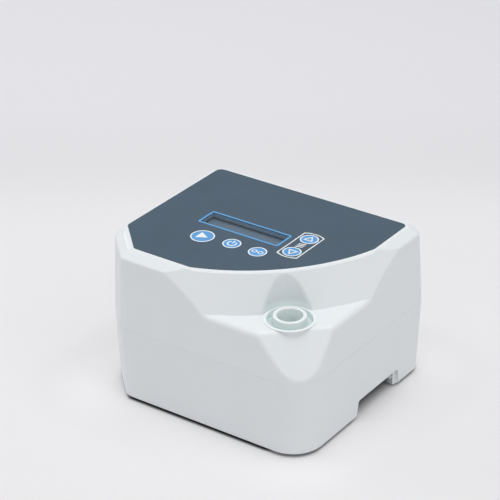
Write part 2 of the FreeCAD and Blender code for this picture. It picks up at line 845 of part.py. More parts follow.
def panel_plan(body, name, z, inset=ZERO):
    """Straight sides of the control panel; its outlet side is cut by an arc."""
    radius = size["panel_corner"] - inset
    leg = size["panel_chamfer"] - LEG_GROWTH*inset
    left, right = PANEL_LEFT + inset, PANEL_RIGHT - inset
    back = PANEL_BACK - inset
    sketch = new_sketch(body, name, z)
    polygon(sketch, [(left + leg, -back, radius), (right, -back), (right, back, radius),
                     (left, back, radius), (left, leg - back, radius)])
    return sketch


def panel_blank(label, thickness, inset=ZERO):
    """Flat blank of the control panel standing on the film's seat."""
    body = new_body(label)
    pad(body, panel_plan(body, label + "_plan", FILM_SEAT, inset), thickness)
    edge = arc_cut(body, label + "_arc", FILM_SEAT + thickness, PANEL_REACH - inset,
                   size["panel_arc"] - inset)
    pocket(body, edge, thickness)
    return body


def make_film():
    """Printed control panel film, with holes for the keys and the display window."""
    gap = size["key_gap"]
    body = panel_blank("panel_overlay", size["film_thickness"], size["film_edge"])
    holes = new_sketch(body, "film_keys", FILM_TOP)
    for x, y, radius in KEYS.values():
        circle(holes, x, y, radius + gap)
    pocket(body, holes, size["film_thickness"])
    window = new_sketch(body, "film_window", FILM_TOP)
    window_plan(window, size["film_edge"])
    pocket(body, window, size["film_thickness"])
    return body


def window_plan(sketch, grow):
    half_width = size["window_width"]/2 + grow
    half_depth = size["window_depth"]/2 + grow
    x, y = WINDOW_X, WINDOW_Y
    rectangle(sketch, x - half_width, y - half_depth, x + half_width, y + half_depth)


def make_upper_housing():
    """Lid: scooped skin, outlet cup, key guides, board posts and screw bosses."""
    body = upper_skin("upper_housing", ZERO)
    soften_lid(body)
    hollow(body, upper_skin("lid_cavity", size["wall"]), "lid_hollow")
    rim = OUTLET_RIM
    boss = discs(body, "outlet_boss", rim, [OUTLET], size["outlet_rim_radius"])
    pad(body, boss, size["cup_depth"] + size["wall"], back=True)
    pocket(body, discs(body, "outlet_cup", rim, [OUTLET], size["cup_radius"]), size["cup_depth"])
    hole = discs(body, "outlet_hole", CUP_FLOOR, [OUTLET], size["tube_radius"] + size["fit"])
    pocket(body, hole, size["wall"] + 1)
    add_lid_posts(body)
    cut_panel_seat(body)
    return body


def add_lid_posts(body):
    """Posts for the control board and bosses for the case screws, all hanging from the lid."""
    posts = discs(body, "board_posts", BOARD_TOP, BOARD_POSTS, size["board_post"])
    pad(body, posts, CEILING - BOARD_TOP + 0.5)
    pilot = size["small_screw"] + size["fit"]
    pilots = discs(body, "board_pilots", BOARD_TOP, BOARD_POSTS, pilot)
    pocket(body, pilots, size["small_screw_length"], back=True)
    pad(body, discs(body, "case_bosses", PARTING, CASE_SCREWS, size["boss_radius"]), size["boss_length"])
    pilots = discs(body, "case_pilots", PARTING, CASE_SCREWS, size["case_screw"] + size["fit"])
    pocket(body, pilots, size["case_screw_bite"] + 1, back=True)


def cut_panel_seat(body):
    """Shallow seat for the film, wells and guides for the keys, and the display opening."""
    hollow(body, panel_blank("film_space", size["film_recess"] + 1), "film_seat")
    well_depth = size["key_thickness"] + size["key_travel"] + size["body_gap"]
    wells = new_sketch(body, "key_wells", FILM_TOP)
    guides = new_sketch(body, "key_guides", FILM_TOP)
    for x, y, radius in KEYS.values():
        circle(wells, x, y, radius + size["key_gap"])
        circle(guides, x, y, size["stem_radius"] + size["stem_clearance"])
    pocket(body, wells, well_depth)
    pocket(body, guides, FILM_TOP - CEILING + 1)
    window = new_sketch(body, "display_opening", FILM_TOP)
    window_plan(window, ZERO)
    pocket(body, window, FILM_TOP - CEILING + 1)


def make_window():
    """Clear window, flush with the film, over the display opening."""
    body = new_body("display_window")
    plan = new_sketch(body, "window_plan", FILM_SEAT)
    window_plan(plan, ZERO)
    pad(body, plan, size["film_thickness"])
    return body


def make_key(label, x, y, radius):
    """Round key with a stem through the lid and a collar that stops it from below."""
    body = new_body(label)
    cap = new_sketch(body, label + "_cap", FILM_TOP)
    circle(cap, x, y, radius)
    pad(body, cap, size["key_thickness"], back=True)
    stem = new_sketch(body, label + "_stem", STEM_BOTTOM)
    circle(stem, x, y, size["stem_radius"])
    pad(body, stem, FILM_TOP - size["key_thickness"] - STEM_BOTTOM)
    collar = new_sketch(body, label + "_collar", CEILING - size["fit"])
    circle(collar, x, y, size["collar_radius"])
    pad(body, collar, size["collar_thickness"], back=True)
    return body


def make_lower_housing():
    """Base tray: outer walls, air channel under the right side, screw tunnels and posts."""
    body = new_body("lower_housing")
    bevel = size["base_bevel"]
    seam = size["seam_bevel"]
    plans = [case_plan(body, "base_under", BASE, BASE_SIDES, *CASE_CORNERS, bevel),
             case_plan(body, "base_edge", BASE + bevel, BASE_SIDES, *CASE_CORNERS),
             case_plan(body, "base_lip", PARTING - seam, PARTING_SIDES, *CASE_CORNERS),
             case_plan(body, "base_seam", PARTING, PARTING_SIDES, *CASE_CORNERS, seam)]
    loft(body, plans)
    inner = new_body("base_cavity")
    wall = size["wall"]
    loft(inner, [case_plan(inner, "cavity_floor", FLOOR_TOP, BASE_SIDES, *CASE_CORNERS, wall),
                 case_plan(inner, "cavity_mouth", PARTING + 1, PARTING_SIDES, *CASE_CORNERS, wall)])
    hollow(body, inner, "base_hollow")
    add_air_channel(body)
    add_base_posts(body)
    jack_hole = upright_sketch(body, "jack_hole", JACK_X, HALF_DEPTH - 8, JACK_Z)
    circle(jack_hole, ZERO, ZERO, size["jack_barrel"] + 0.2)
    pocket(body, jack_hole, Size.of(20))
    return body


CHANNEL_RIGHT = HALF_WIDTH - size["lower_draft"] - size["notch_strip"]


def add_air_channel(body):
    """Air duct open to the table, its notch in the right wall, and the filter drawer's rails."""
    skin = size["floor"]
    block = plate(body, "channel_block", FLOOR_TOP - 0.5, CHANNEL_END - skin, CHANNEL_FRONT - skin,
                  HALF_WIDTH - size["lower_draft"] - 1, CHANNEL_BACK + skin)
    pad(body, block, ROOF_TOP - FLOOR_TOP + 0.5)
    channel = plate(body, "channel_space", BASE - 1, CHANNEL_END, CHANNEL_FRONT,
                    CHANNEL_RIGHT, CHANNEL_BACK)
    pocket(body, channel, CHANNEL_TOP - BASE + 1, back=True)
    notch = new_sketch(body, "notch", CHANNEL_RIGHT - 1, "YZ_Plane")
    flare = size["notch_flare"]
    polygon(notch, [(size["notch_front"] - flare, BASE - 1), (size["notch_back"] + flare, BASE - 1),
                    (size["notch_back"], CHANNEL_TOP, 1.5), (size["notch_front"], CHANNEL_TOP, 1.5)])
    pocket(body, notch, Size.of(20), back=True)
    rail_top = TRAY_BOTTOM - size["slide_gap"]
    ledge = size["tray_width"]/2 - 2
    for name, front, back in (("rail_front", CHANNEL_FRONT - 0.5, TRAY_Y - ledge),
                              ("rail_back", TRAY_Y + ledge, CHANNEL_BACK + 0.5)):
        rail = plate(body, name, rail_top, CHANNEL_END - 0.5, front, CHANNEL_RIGHT, back)
        pad(body, rail, size["rail_thickness"], back=True)
    margin = size["tray_margin"]
    opening_half = size["tray_width"]/2 - margin - 1
    opening = plate(body, "roof_opening", ROOF_TOP, TRAY_LEFT + margin, TRAY_Y - opening_half,
                    TRAY_RIGHT - margin, TRAY_Y + opening_half, 3)
    pocket(body, opening, skin + 1)


def add_base_posts(body):
    """Case screw tunnels, foot recesses, and posts for the power board and the blower mounts."""
    foot = FLOOR_TOP - 0.5
    pad(body, discs(body, "case_posts", foot, CASE_SCREWS, size["post_radius"]), PARTING - foot)
    tunnel = discs(body, "screw_tunnels", BASE - 1, CASE_SCREWS, size["case_screw_head"] + size["body_gap"])
    pocket(body, tunnel, PARTING - size["screw_web"] - BASE + 1, back=True)
    holes = discs(body, "screw_holes", PARTING, CASE_SCREWS, size["case_screw"] + 0.1)
    pocket(body, holes, size["screw_web"] + 1)
    recess = discs(body, "foot_recesses", BASE - 1, FEET, size["foot_radius"] + 0.1)
    pocket(body, recess, size["foot_recess"] + 1, back=True)
    board_foot = size["power_board_height"]
    pad(body, discs(body, "power_posts", foot, POWER_POSTS, size["board_post"]), board_foot - foot)
    pilots = discs(body, "power_pilots", board_foot, POWER_POSTS, size["small_screw"] + size["fit"])
    pocket(body, pilots, size["small_screw_length"])
    mount_foot = size["blower_base"] - size["mount_height"]
    pad(body, discs(body, "mount_posts", foot, MOUNTS, size["mount_radius"]), mount_foot - foot)
    sockets = discs(body, "mount_sockets", mount_foot, MOUNTS, size["mount_nipple"] + size["fit"])
    pocket(body, sockets, Size.of(3))


# ---------------------------------------------------------------- fasteners and feet


def make_case_screws():
    return group("housing_screws", [
        screw(f"case_screw_{i}", x, y, PARTING - size["screw_web"], size["case_screw_head"],
              size["case_screw_head_height"], size["case_screw"],
              size["screw_web"] + size["case_screw_bite"], points_up=True)
        for i, (x, y) in enumerate(CASE_SCREWS)])


def small_screws(label, places, seat, points_up=False):
    return [screw(f"{label}_{i}", x, y, seat, size["small_head"], size["small_head_height"],
                  size["small_screw"], size["small_screw_length"], points_up)
            for i, (x, y) in enumerate(places)]


def make_feet():
    """Bonded rubber feet with a bevelled tread."""
    bevel = Size.of(0.6)
    height = BASE + size["foot_recess"]
    feet = []
    for i, (x, y) in enumerate(FEET):
        tread = cone(f"tread_{i}", x, y, 0, size["foot_radius"] - bevel, size["foot_radius"], bevel)
        pad_part = cylinder(f"foot_{i}", x, y, bevel, size["foot_radius"], height - bevel)
        feet.append(union(f"foot_whole_{i}", [tread, pad_part]))
    return group("rubber_feet", feet)


# ---------------------------------------------------------------- electronics


def board(label, left, front, right, back, foot, posts):
    """Circuit board with rounded corners and screw holes."""
    body = new_body(label)
    pad(body, plate(body, label + "_plan", foot, left, front, right, back, 2), size["board_thickness"])
    top = foot + size["board_thickness"]
    holes = discs(body, label + "_holes", top, posts, size["small_screw"] + 0.1)
    pocket(body, holes, size["board_thickness"])
    return body


def make_control_board():
    return board("control_board", BOARD_LEFT, BOARD_FRONT, BOARD_RIGHT, BOARD_BACK, BOARD_BOTTOM, BOARD_POSTS)


def make_lcd():
    """Display module standing on the control board, and the glass let into its top."""
    x, y = WINDOW_X, WINDOW_Y
    half_width, half_depth = size["lcd_width"]/2, size["lcd_depth"]/2
    top = BOARD_TOP + size["lcd_height"]
    body = new_body("lcd_module")
    pad(body, plate(body, "lcd_plan", BOARD_TOP, x - half_width, y - half_depth,
                    x + half_width, y + half_depth, 1), size["lcd_height"])
    inset_x, inset_y = Size.of(3), Size.of(3.6)
    glass_low = (x - half_width + inset_x, y - half_depth + inset_y)
    glass_high = (x + half_width - inset_x, y + half_depth - inset_y)
    seat = Size.of(1.1)
    pocket(body, plate(body, "lcd_seat", top, *glass_low, *glass_high), seat)
    gap = Size.of(0.1)
    glass = box("lcd_glass", (glass_low[0] + gap, glass_low[1] + gap, top - seat),
                (glass_high[0] - gap, glass_high[1] - gap, top - 0.1))
    return body, glass


def make_switches():
    """One tactile switch under each key."""
    half = size["switch_side"]/2
    foot = BOARD_TOP
    body_top = foot + size["switch_height"]
    switches = []
    for label, (x, y, _) in KEYS.items():
        name = label.replace("key", "switch")
        can = box(name + "_can", (x - half, y - half, foot), (x + half, y + half, body_top))
        button = cylinder(name + "_button", x, y, body_top - 0.5, size["switch_button"],
                          BUTTON_TOP - body_top + 0.5)
        switches.append(union(name, [can, button]))
    return group("tact_switches", switches)


def make_pressure_sensor():
    """Outlet pressure sensor under the control board, with its hose port pointing down."""
    x, y = NIPPLE_X, SENSOR_Y
    foot = BOARD_BOTTOM - size["sensor_height"]
    case = box("sensor_case", (x - 6.5, y - 4.5, foot), (x + 2.2, y + 4.5, BOARD_BOTTOM))
    port = cylinder("sensor_port", x, y, foot - size["nipple_height"], size["nipple_radius"],
                    size["nipple_height"] + 1)
    bore = cylinder("sensor_bore", x, y, foot - size["nipple_height"] - 1, 0.7, size["nipple_height"] + 2)
    return remove("pressure_sensor", union("sensor_blank", [case, port]), [bore])


def make_sensor_tube():
    """Soft hose from the outlet elbow's nipple up to the pressure sensor."""
    body = new_body("sensor_tube")
    x, y = NIPPLE_X, SENSOR_Y
    start = DUCT_Z + size["duct_outer"] + size["body_gap"] + 0.4
    end = BOARD_BOTTOM - size["sensor_height"] - size["body_gap"]
    path = new_sketch(body, "hose_path", x, "YZ_Plane")
    bend = size["hose_bend"]
    polygon(path, [(OUTLET_Y, start), (OUTLET_Y, start + size["hose_rise"], bend),
                   (y, end - size["hose_drop"], bend), (y, end)], closed=False)
    inner = size["nipple_radius"] + 0.05
    sweep(body, discs(body, "hose_outside", start, [(x, OUTLET_Y)], inner + size["hose_wall"]), path)
    sweep(body, discs(body, "hose_inside", start, [(x, OUTLET_Y)], inner), path, "SubtractivePipe")
    return body


def make_power_board():
    return board("power_board", POWER_LEFT, POWER_FRONT, POWER_RIGHT,
                 POWER_BACK, size["power_board_height"], POWER_POSTS)


def make_jack():
    """Low voltage power inlet: housing on the board, barrel through the wall, centre pin."""
    body = new_body("dc_jack")
    x = JACK_X
    half = size["jack_width"]/2
    face = HALF_DEPTH - size["lower_draft"] - size["wall"] - size["body_gap"]
    barrel_end = HALF_DEPTH - size["lower_draft"]*0.46
    outline = new_sketch(body, "jack_outline", -(face), "XZ_Plane", at=(x, ZERO))
    polygon(outline, [(-half, POWER_BOARD_TOP), (half, POWER_BOARD_TOP),
                      (half, JACK_Z + half, 1), (-half, JACK_Z + half, 1)])
    pad(body, outline, size["jack_length"])
    barrel = upright_sketch(body, "jack_barrel_ring", x, face, JACK_Z)
    circle(barrel, ZERO, ZERO, size["jack_barrel"])
    pad(body, barrel, barrel_end - face, back=True)
    bore = upright_sketch(body, "jack_bore_ring", x, barrel_end, JACK_Z)
    circle(bore, ZERO, ZERO, size["jack_bore"])
    circle(bore, ZERO, ZERO, size["jack_pin"])
    pocket(body, bore, Size.of(10), back=True)
    return body


def make_capacitors():
    """Two smoothing capacitors standing on the power board."""
    cans = []
    for i, x in enumerate((POWER_LEFT + 12, POWER_LEFT + 25)):
        cans.append(cylinder(f"capacitor_{i}", x, POWER_FRONT + 10, POWER_BOARD_TOP,
                             size["capacitor_radius"], size["capacitor_height"]))
    return group("power_capacitors", cans)


# ---------------------------------------------------------------- blower


def scroll_plan(body, name, z, grow, end):
    """Spiral of three arcs that opens into the outlet duct along the front."""
    growth = size["scroll_growth"]
    half = growth/2
    outer = -(size["scroll_radius"] + 2.5*growth) - grow
    inner = outer + size["duct_width"] + 2*grow
    sketch = new_sketch(body, name, z, at=(BLOWER_X, BLOWER_Y))
    arcs = []
    tongue = math.asin((inner - half).number/(size["scroll_radius"] + grow).number)
    turns = ((tongue, math.pi/2), (math.pi/2, math.pi), (math.pi, 1.5*math.pi))
    centres = ((-half, half), (-half, -half), (half, -half))
    for i, ((x, y), (first, last)) in enumerate(zip(centres, turns)):
        radius = size["scroll_radius"] + i*growth + grow
        arc = sketch.addGeometry(Part.ArcOfCircle(
            Part.Circle(spot(x, y), Vector(0, 0, 1), radius.number), first, last))
        pin_point(sketch, arc, 3, x, y)
        tie(sketch, "Radius", (arc,), radius)
        arcs.append(arc)
    for arc, end_of_arc, way in ((0, 2, "Vertical"), (1, 1, "Vertical"), (1, 2, "Horizontal"),
                                 (2, 1, "Horizontal"), (2, 2, "Vertical")):
        link(sketch, way, arcs[arc], 3, arcs[arc], end_of_arc)
    mouth = end - BLOWER_X
    bottom = sketch.addGeometry(Part.LineSegment(spot(half, outer), spot(mouth, outer)))
    side = sketch.addGeometry(Part.LineSegment(spot(mouth, outer), spot(mouth, inner)))
    start = sketch.getPoint(arcs[0], 1)
    top = sketch.addGeometry(Part.LineSegment(spot(mouth, inner), start))
    pin_point(sketch, bottom, 1, half, outer)
    link(sketch, "Coincident", bottom, 2, side, 1)
    link(sketch, "Coincident", side, 2, top, 1)
    link(sketch, "Coincident", top, 2, arcs[0], 1)
    pin_point(sketch, side, 1, mouth, outer)
    pin_point(sketch, side, 2, mouth, inner)
    link(sketch, "Horizontal", top)
    return sketch


def ear_places():
    """Screw ears just outside the scroll wall."""
    half = size["scroll_growth"]/2
    reach = size["scroll_wall"] + 1.2
    quarters = ((-half, half, 1, 1), (-half, -half, -1, 1), (half, -half, -1, -1))
    places = []
    for i, (x, y, across, up) in enumerate(quarters):
        radius = (size["scroll_radius"] + i*size["scroll_growth"] + reach)/ROOT_TWO
        places.append((BLOWER_X + x + across*radius, BLOWER_Y + y + up*radius))
    places.append((BLOWER_X + 12, BLOWER_Y - size["scroll_radius"] - 2.5*size["scroll_growth"] - reach))
    return places


EARS = ear_places()
AXIS = [(BLOWER_X, BLOWER_Y)]


def make_blower_base():
    """Lower half of the volute, with the inlet eye below and the outlet spigot to the right."""
    body = new_body("blower_base")
    wall = size["scroll_wall"]
    outside = scroll_plan(body, "scroll_outside", size["blower_base"], wall, DUCT_END)
    pad(body, outside, SCROLL_TOP - size["blower_base"])
    pad(body, discs(body, "base_ears", SCROLL_TOP, EARS, size["ear_radius"]), Size.of(9), back=True)
    spigot = new_sketch(body, "spigot_outside", DUCT_END - 1, "YZ_Plane", at=(OUTLET_Y, DUCT_Z))
    circle(spigot, ZERO, ZERO, size["duct_outer"])
    pad(body, spigot, SPIGOT_END - DUCT_END + 1)
    inside = scroll_plan(body, "scroll_inside", SCROLL_TOP, ZERO, DUCT_END - wall)
    pocket(body, inside, size["scroll_height"])
    bore = new_sketch(body, "spigot_bore", SPIGOT_END, "YZ_Plane", at=(OUTLET_Y, DUCT_Z))
    circle(bore, ZERO, ZERO, size["duct_bore"])
    pocket(body, bore, SPIGOT_END - DUCT_END + wall + 1)
    trim = plate(body, "spigot_trim", SCROLL_TOP + 5, DUCT_END - 3, OUTLET_Y - 12, DUCT_END,
                 OUTLET_Y + 12)
    pocket(body, trim, Size.of(5))
    pocket(body, discs(body, "inlet_eye", SCROLL_FLOOR, AXIS, size["inlet_eye"]), wall)
    pocket(body, discs(body, "ear_pilots", SCROLL_TOP, EARS, size["small_screw"] + size["fit"]), Size.of(7))
    pocket(body, discs(body, "mount_holes", SCROLL_FLOOR, MOUNTS, size["mount_nipple"] + size["fit"]), wall)
    return body


def make_blower_cover():
    """Upper half of the volute, with the bearing tube that carries the motor."""
    body = new_body("blower_cover")
    wall = size["scroll_wall"]
    outline = scroll_plan(body, "cover_outline", SCROLL_TOP, wall, DUCT_END - size["body_gap"])
    pad(body, outline, wall)
    pad(body, discs(body, "cover_ears", SCROLL_TOP, EARS, size["ear_radius"]), wall)
    pad(body, discs(body, "bearing_tube", COVER_TOP - 0.5, AXIS, size["bearing_tube"]),
        size["bearing_tube_height"] + 0.5)
    step = discs(body, "stator_step", COVER_TOP - 0.5, AXIS, size["bearing_tube"] + 1.5)
    pad(body, step, size["stator_lift"] + 0.5)
    seat = size["bearing_radius"] + size["fit"]
    width = size["bearing_width"]
    pocket(body, discs(body, "low_bearing_seat", SCROLL_TOP, AXIS, seat), width, back=True)
    pocket(body, discs(body, "high_bearing_seat", BEARING_TOP, AXIS, seat), width)
    through = discs(body, "shaft_way", BEARING_TOP, AXIS, size["bearing_radius"] - 1)
    pocket(body, through, size["bearing_tube_height"] + wall + 1)
    pocket(body, discs(body, "cover_holes", COVER_TOP, EARS, size["small_screw"] + 0.1), wall)
    return body


def blade_plan(body, name):
    """One backward curved blade between the eye and the rim."""
    sketch = new_sketch(body, name, BLADE_BOTTOM, at=(BLOWER_X, BLOWER_Y))
    reach = size["blade_arc"]
    lean = math.radians(60)
    centre_x, centre_y = reach*math.cos(lean), -reach*math.sin(lean)
    centre = spot(centre_x, centre_y)
    rims = []
    for radius in (size["blade_inner"], size["impeller_radius"] - 0.1):
        rim = sketch.addGeometry(Part.Circle(Vector(), Vector(0, 0, 1), radius.number), True)
        pin_point(sketch, rim, 3, ZERO, ZERO)
        tie(sketch, "Radius", (rim,), radius)
        rims.append(radius.number)
    faces = []
    for way in (1, -1):
        radius = reach + way*size["blade_thickness"]/2
        angles = [crossing(centre, radius.number, rim) for rim in rims]
        arc = sketch.addGeometry(Part.ArcOfCircle(
            Part.Circle(centre, Vector(0, 0, 1), radius.number), angles[1], angles[0]))
        pin_point(sketch, arc, 3, centre_x, centre_y)
        tie(sketch, "Radius", (arc,), radius)
        link(sketch, "PointOnObject", arc, 2, 0)
        link(sketch, "PointOnObject", arc, 1, 1)
        faces.append(arc)
    for end in (1, 2):
        ends = [sketch.getPoint(face, end) for face in faces]
        edge = sketch.addGeometry(Part.LineSegment(*ends))
        link(sketch, "Coincident", edge, 1, faces[0], end)
        link(sketch, "Coincident", edge, 2, faces[1], end)
    return sketch


def crossing(centre, radius, rim):
    """Angle, seen from a circle's centre, at which it crosses a rim round the origin."""
    distance = centre.Length
    towards = math.atan2(-centre.y, -centre.x)
    cosine = (distance*distance + radius*radius - rim*rim)/(2*distance*radius)
    return towards - math.acos(cosine)


def make_impeller():
    """Shrouded impeller: hub, back plate under the cover, blades and a ring round the eye."""
    body = new_body("impeller")
    disc = size["disc_thickness"]
    rim = size["impeller_radius"]
    pad(body, discs(body, "back_plate", DISC_TOP, AXIS, rim), disc, back=True)
    pad(body, discs(body, "hub", DISC_TOP, AXIS, size["hub_radius"]), DISC_TOP - BLADE_BOTTOM, back=True)
    blade = pad(body, blade_plan(body, "blade"), BLADE_TOP - BLADE_BOTTOM + 0.2)
    pattern(body, [blade], 9)
    ring = discs(body, "shroud", BLADE_BOTTOM + 0.2, AXIS, rim)
    circle(ring, *AXIS[0], size["inlet_eye"] + 0.5)
    pad(body, ring, disc, back=True)
    pocket(body, discs(body, "hub_bore", DISC_TOP, AXIS, size["shaft_radius"]), DISC_TOP - BLADE_BOTTOM)
    return body


def make_shaft():
    """Ground shaft through the hub, both bearings and the rotor can."""
    x, y = AXIS[0]
    tip = Size.of(0.4)
    foot = BLADE_BOTTOM
    top = CAN_TOP + size["can_wall"] + 0.6
    radius = size["shaft_radius"]
    bar = cylinder("shaft_bar", x, y, foot + tip, radius, top - foot - 2*tip)
    low = cone("shaft_low_tip", x, y, foot, radius - tip, radius, tip)
    high = cone("shaft_high_tip", x, y, top - tip, radius, radius - tip, tip)
    return union("motor_shaft", [bar, low, high])


def make_bearings():
    """Two shielded ball bearings."""
    bearings = []
    for name, foot in (("low_bearing", SCROLL_TOP), ("high_bearing", BEARING_TOP - size["bearing_width"])):
        body = new_body(name)
        profile = upright_sketch(body, name + "_profile", BLOWER_X, BLOWER_Y, foot)
        inner = size["shaft_radius"] + size["bearing_clearance"]
        outer = size["bearing_radius"]
        width = size["bearing_width"]
        shield, inset = Size.of(0.9), Size.of(0.3)
        polygon(profile, [(inner, 0), (inner + shield, 0), (inner + shield, inset), (outer - shield, inset),
                          (outer - shield, 0), (outer, 0), (outer, width), (outer - shield, width),
                          (outer - shield, width - inset), (inner + shield, width - inset),
                          (inner + shield, width), (inner, width)])
        revolve(body, profile)
        bearings.append(body)
    return group("bearings", bearings)


def make_stator():
    """Nine toothed stator core on the bearing tube."""
    body = new_body("stator")
    height = size["stator_height"]
    ring = discs(body, "stator_ring", STATOR_FOOT, AXIS, size["bearing_tube"] + 3)
    pad(body, ring, height)
    tooth = new_sketch(body, "stator_tooth", STATOR_FOOT, at=(BLOWER_X, BLOWER_Y))
    rim = size["stator_radius"]
    root = size["bearing_tube"] + 1
    polygon(tooth, [(root, -1.2), (rim - 1.6, -1.2), (rim - 1.1, -4.2), (rim - 0.6, -4.2), (rim - 0.05, -2),
                    (rim - 0.05, 2), (rim - 0.6, 4.2), (rim - 1.1, 4.2), (rim - 1.6, 1.2), (root, 1.2)])
    pattern(body, [pad(body, tooth, height)], 9)
    bore = discs(body, "stator_bore", STATOR_FOOT, AXIS, size["bearing_tube"] + size["fit"])
    pocket(body, bore, height, back=True)
    return body


def make_windings():
    """A copper coil round each stator tooth."""
    body = new_body("motor_windings")
    overhang, gap = Size.of(1.1), Size.of(0.1)
    coil = new_sketch(body, "coil", STATOR_FOOT - overhang, at=(BLOWER_X, BLOWER_Y))
    root = size["bearing_tube"] + 3 + 0.15
    rim = size["stator_radius"] - 1.8
    rectangle(coil, root, -2.3, rim, 2.3)
    block = pad(body, coil, size["stator_height"] + 2*overhang)
    slot = new_sketch(body, "coil_slot", STATOR_FOOT - gap, at=(BLOWER_X, BLOWER_Y))
    rectangle(slot, root - 1, -1.3, rim + 0.1, 1.3)
    way = pocket(body, slot, size["stator_height"] + 2*gap, back=True)
    pattern(body, [block, way], 9)
    return body


def make_rotor_can():
    """Steel cup that carries the magnet round the stator."""
    body = new_body("rotor_can")
    profile = upright_sketch(body, "can_profile", BLOWER_X, BLOWER_Y)
    rim, wall = size["can_radius"], size["can_wall"]
    shaft = size["shaft_radius"]
    polygon(profile, [(shaft, CAN_TOP - 1), (4, CAN_TOP - 1), (4, CAN_TOP), (rim - wall, CAN_TOP),
                      (rim - wall, CAN_FOOT), (rim, CAN_FOOT), (rim, CAN_TOP + wall, 1.2),
                      (shaft, CAN_TOP + wall)])
    revolve(body, profile)
    return body


def make_magnet():
    """Ring magnet bonded inside the rotor can."""
    body = new_body("rotor_magnet")
    ring = discs(body, "magnet_ring", STATOR_FOOT - 1, AXIS, size["magnet_outer"] - size["fit"])
    circle(ring, *AXIS[0], size["magnet_inner"])
    pad(body, ring, size["stator_height"] + 2)
    return body


def mount_places():
    """Three rubber mounts evenly round the blower axis."""
    places = []
    for degrees in (90, 210, 330):
        angle = math.radians(degrees)
        places.append((BLOWER_X + size["mount_circle"]*math.cos(angle),
                       BLOWER_Y + size["mount_circle"]*math.sin(angle)))
    return places


def make_blower_mounts():
    """Waisted rubber mounts with a nipple at either end."""
    height = size["mount_height"]
    foot = size["blower_base"] - height
    radius, waist, nipple = size["mount_radius"], size["mount_waist"], size["mount_nipple"]
    tip = height + size["scroll_wall"] - 0.2
    mounts = []
    for i, (x, y) in enumerate(MOUNTS):
        body = new_body(f"blower_mount_{i}")
        profile = upright_sketch(body, f"mount_profile_{i}", x, y, foot)
        polygon(profile, [(0, -2.5), (nipple, -2.5), (nipple, 0), (radius, 0), (radius, 1.2),
                          (waist, height/2, 3), (radius, height - 1.2), (radius, height), (nipple, height),
                          (nipple, tip), (0, tip)])
        revolve(body, profile)
        mounts.append(body)
    return group("blower_mounts", mounts)


MOUNTS = mount_places()

# ---------------------------------------------------------------- air path


def make_coupling():
    """Soft bellows that keeps the blower's vibration out of the outlet duct."""
    body = new_body("outlet_coupling")
    grip, wall, fold = size["bellows_grip"], size["bellows_wall"], size["bellows_fold"]
    inner = size["duct_outer"] + size["fit"]
    start = SPIGOT_END - grip
    end = ELBOW_START + grip
    wave = (end - start - 2*grip)/4
    places = [start, *(start + grip + i*wave for i in range(5)), end]
    heights = [0, 0, 1, 0, 1, 0, 0]
    inside = [(x, inner + fold*rise) for x, rise in zip(places, heights)]
    outside = [(x, radius + wall) for x, radius in reversed(inside)]
    profile = upright_sketch(body, "bellows_profile", ZERO, OUTLET_Y, DUCT_Z)
    soft = [(x, r, 0.5) if i in (2, 3, 4) else (x, r) for i, (x, r) in enumerate(inside)]
    soft += [(x, r, 0.9) if i in (2, 3, 4) else (x, r) for i, (x, r) in enumerate(outside)]
    polygon(profile, soft)
    revolve(body, profile, axis="H_Axis")
    return body


def make_elbow():
    """Duct that turns the air up to the outlet, with a seal socket and a pressure nipple."""
    body = new_body("outlet_elbow")
    start, bend = ELBOW_START, size["bend_radius"]
    socket_floor = TUBE_FOOT - size["body_gap"]
    wall = size["socket_wall"]
    inner = size["tube_radius"] + size["socket_gap"]
    path = upright_sketch(body, "elbow_path", ZERO, OUTLET_Y)
    polygon(path, [(start, DUCT_Z), (OUTLET_X, DUCT_Z, bend), (OUTLET_X, socket_floor)], closed=False)
    outside = new_sketch(body, "elbow_outside", start, "YZ_Plane", at=(OUTLET_Y, DUCT_Z))
    circle(outside, ZERO, ZERO, size["duct_outer"])
    sweep(body, outside, path)
    nipple = [(NIPPLE_X, OUTLET_Y)]
    nipple_length = size["duct_outer"] + size["nipple_height"]
    pad(body, discs(body, "nipple", DUCT_Z, nipple, size["nipple_radius"]), nipple_length)
    socket = discs(body, "socket_outside", socket_floor - wall, [OUTLET], inner + wall)
    pad(body, socket, PORT_UNDERSIDE - size["body_gap"] - socket_floor + wall)
    inside = discs(body, "socket_inside", socket_floor, [OUTLET], inner)
    pocket(body, inside, PORT_UNDERSIDE - socket_floor, back=True)
    bore = new_sketch(body, "elbow_inside", start, "YZ_Plane", at=(OUTLET_Y, DUCT_Z))
    circle(bore, ZERO, ZERO, size["duct_bore"])
    sweep(body, bore, path, "SubtractivePipe")
    pocket(body, discs(body, "nipple_bore", DUCT_Z, nipple, 0.7), nipple_length + 1, back=True)
    return body


def make_outlet_port():
    """Hose spigot: tube with a flange on the cup floor and a seal groove below."""
    body = new_body("outlet_port")
    outer, inner = size["tube_radius"], size["tube_bore"]
    neck = SEAL_RADIUS - size["seal_section"] - 0.02
    foot, top = TUBE_FOOT, TUBE_TOP
    flange = CUP_FLOOR + size["flange_thickness"]
    seal = 2*size["seal_section"]
    groove = foot + 2
    profile = upright_sketch(body, "port_profile", *OUTLET)
    polygon(profile, [(inner, foot), (outer, foot), (outer, groove), (neck, groove),
                      (neck, groove + seal + 0.1), (outer, groove + seal + 0.1), (outer, CUP_FLOOR),
                      (size["flange_radius"], CUP_FLOOR), (size["flange_radius"], flange, 0.4),
                      (outer, flange), (outer, top, 0.5), (inner, top, 0.5)])
    revolve(body, profile)
    return body


def make_seal():
    """Rubber ring in the spigot's groove."""
    body = new_body("outlet_seal")
    section = size["seal_section"]
    profile = upright_sketch(body, "seal_section_ring", *OUTLET, TUBE_FOOT + 2.05 + section)
    circle(profile, SEAL_RADIUS, ZERO, section)
    revolve(body, profile)
    return body


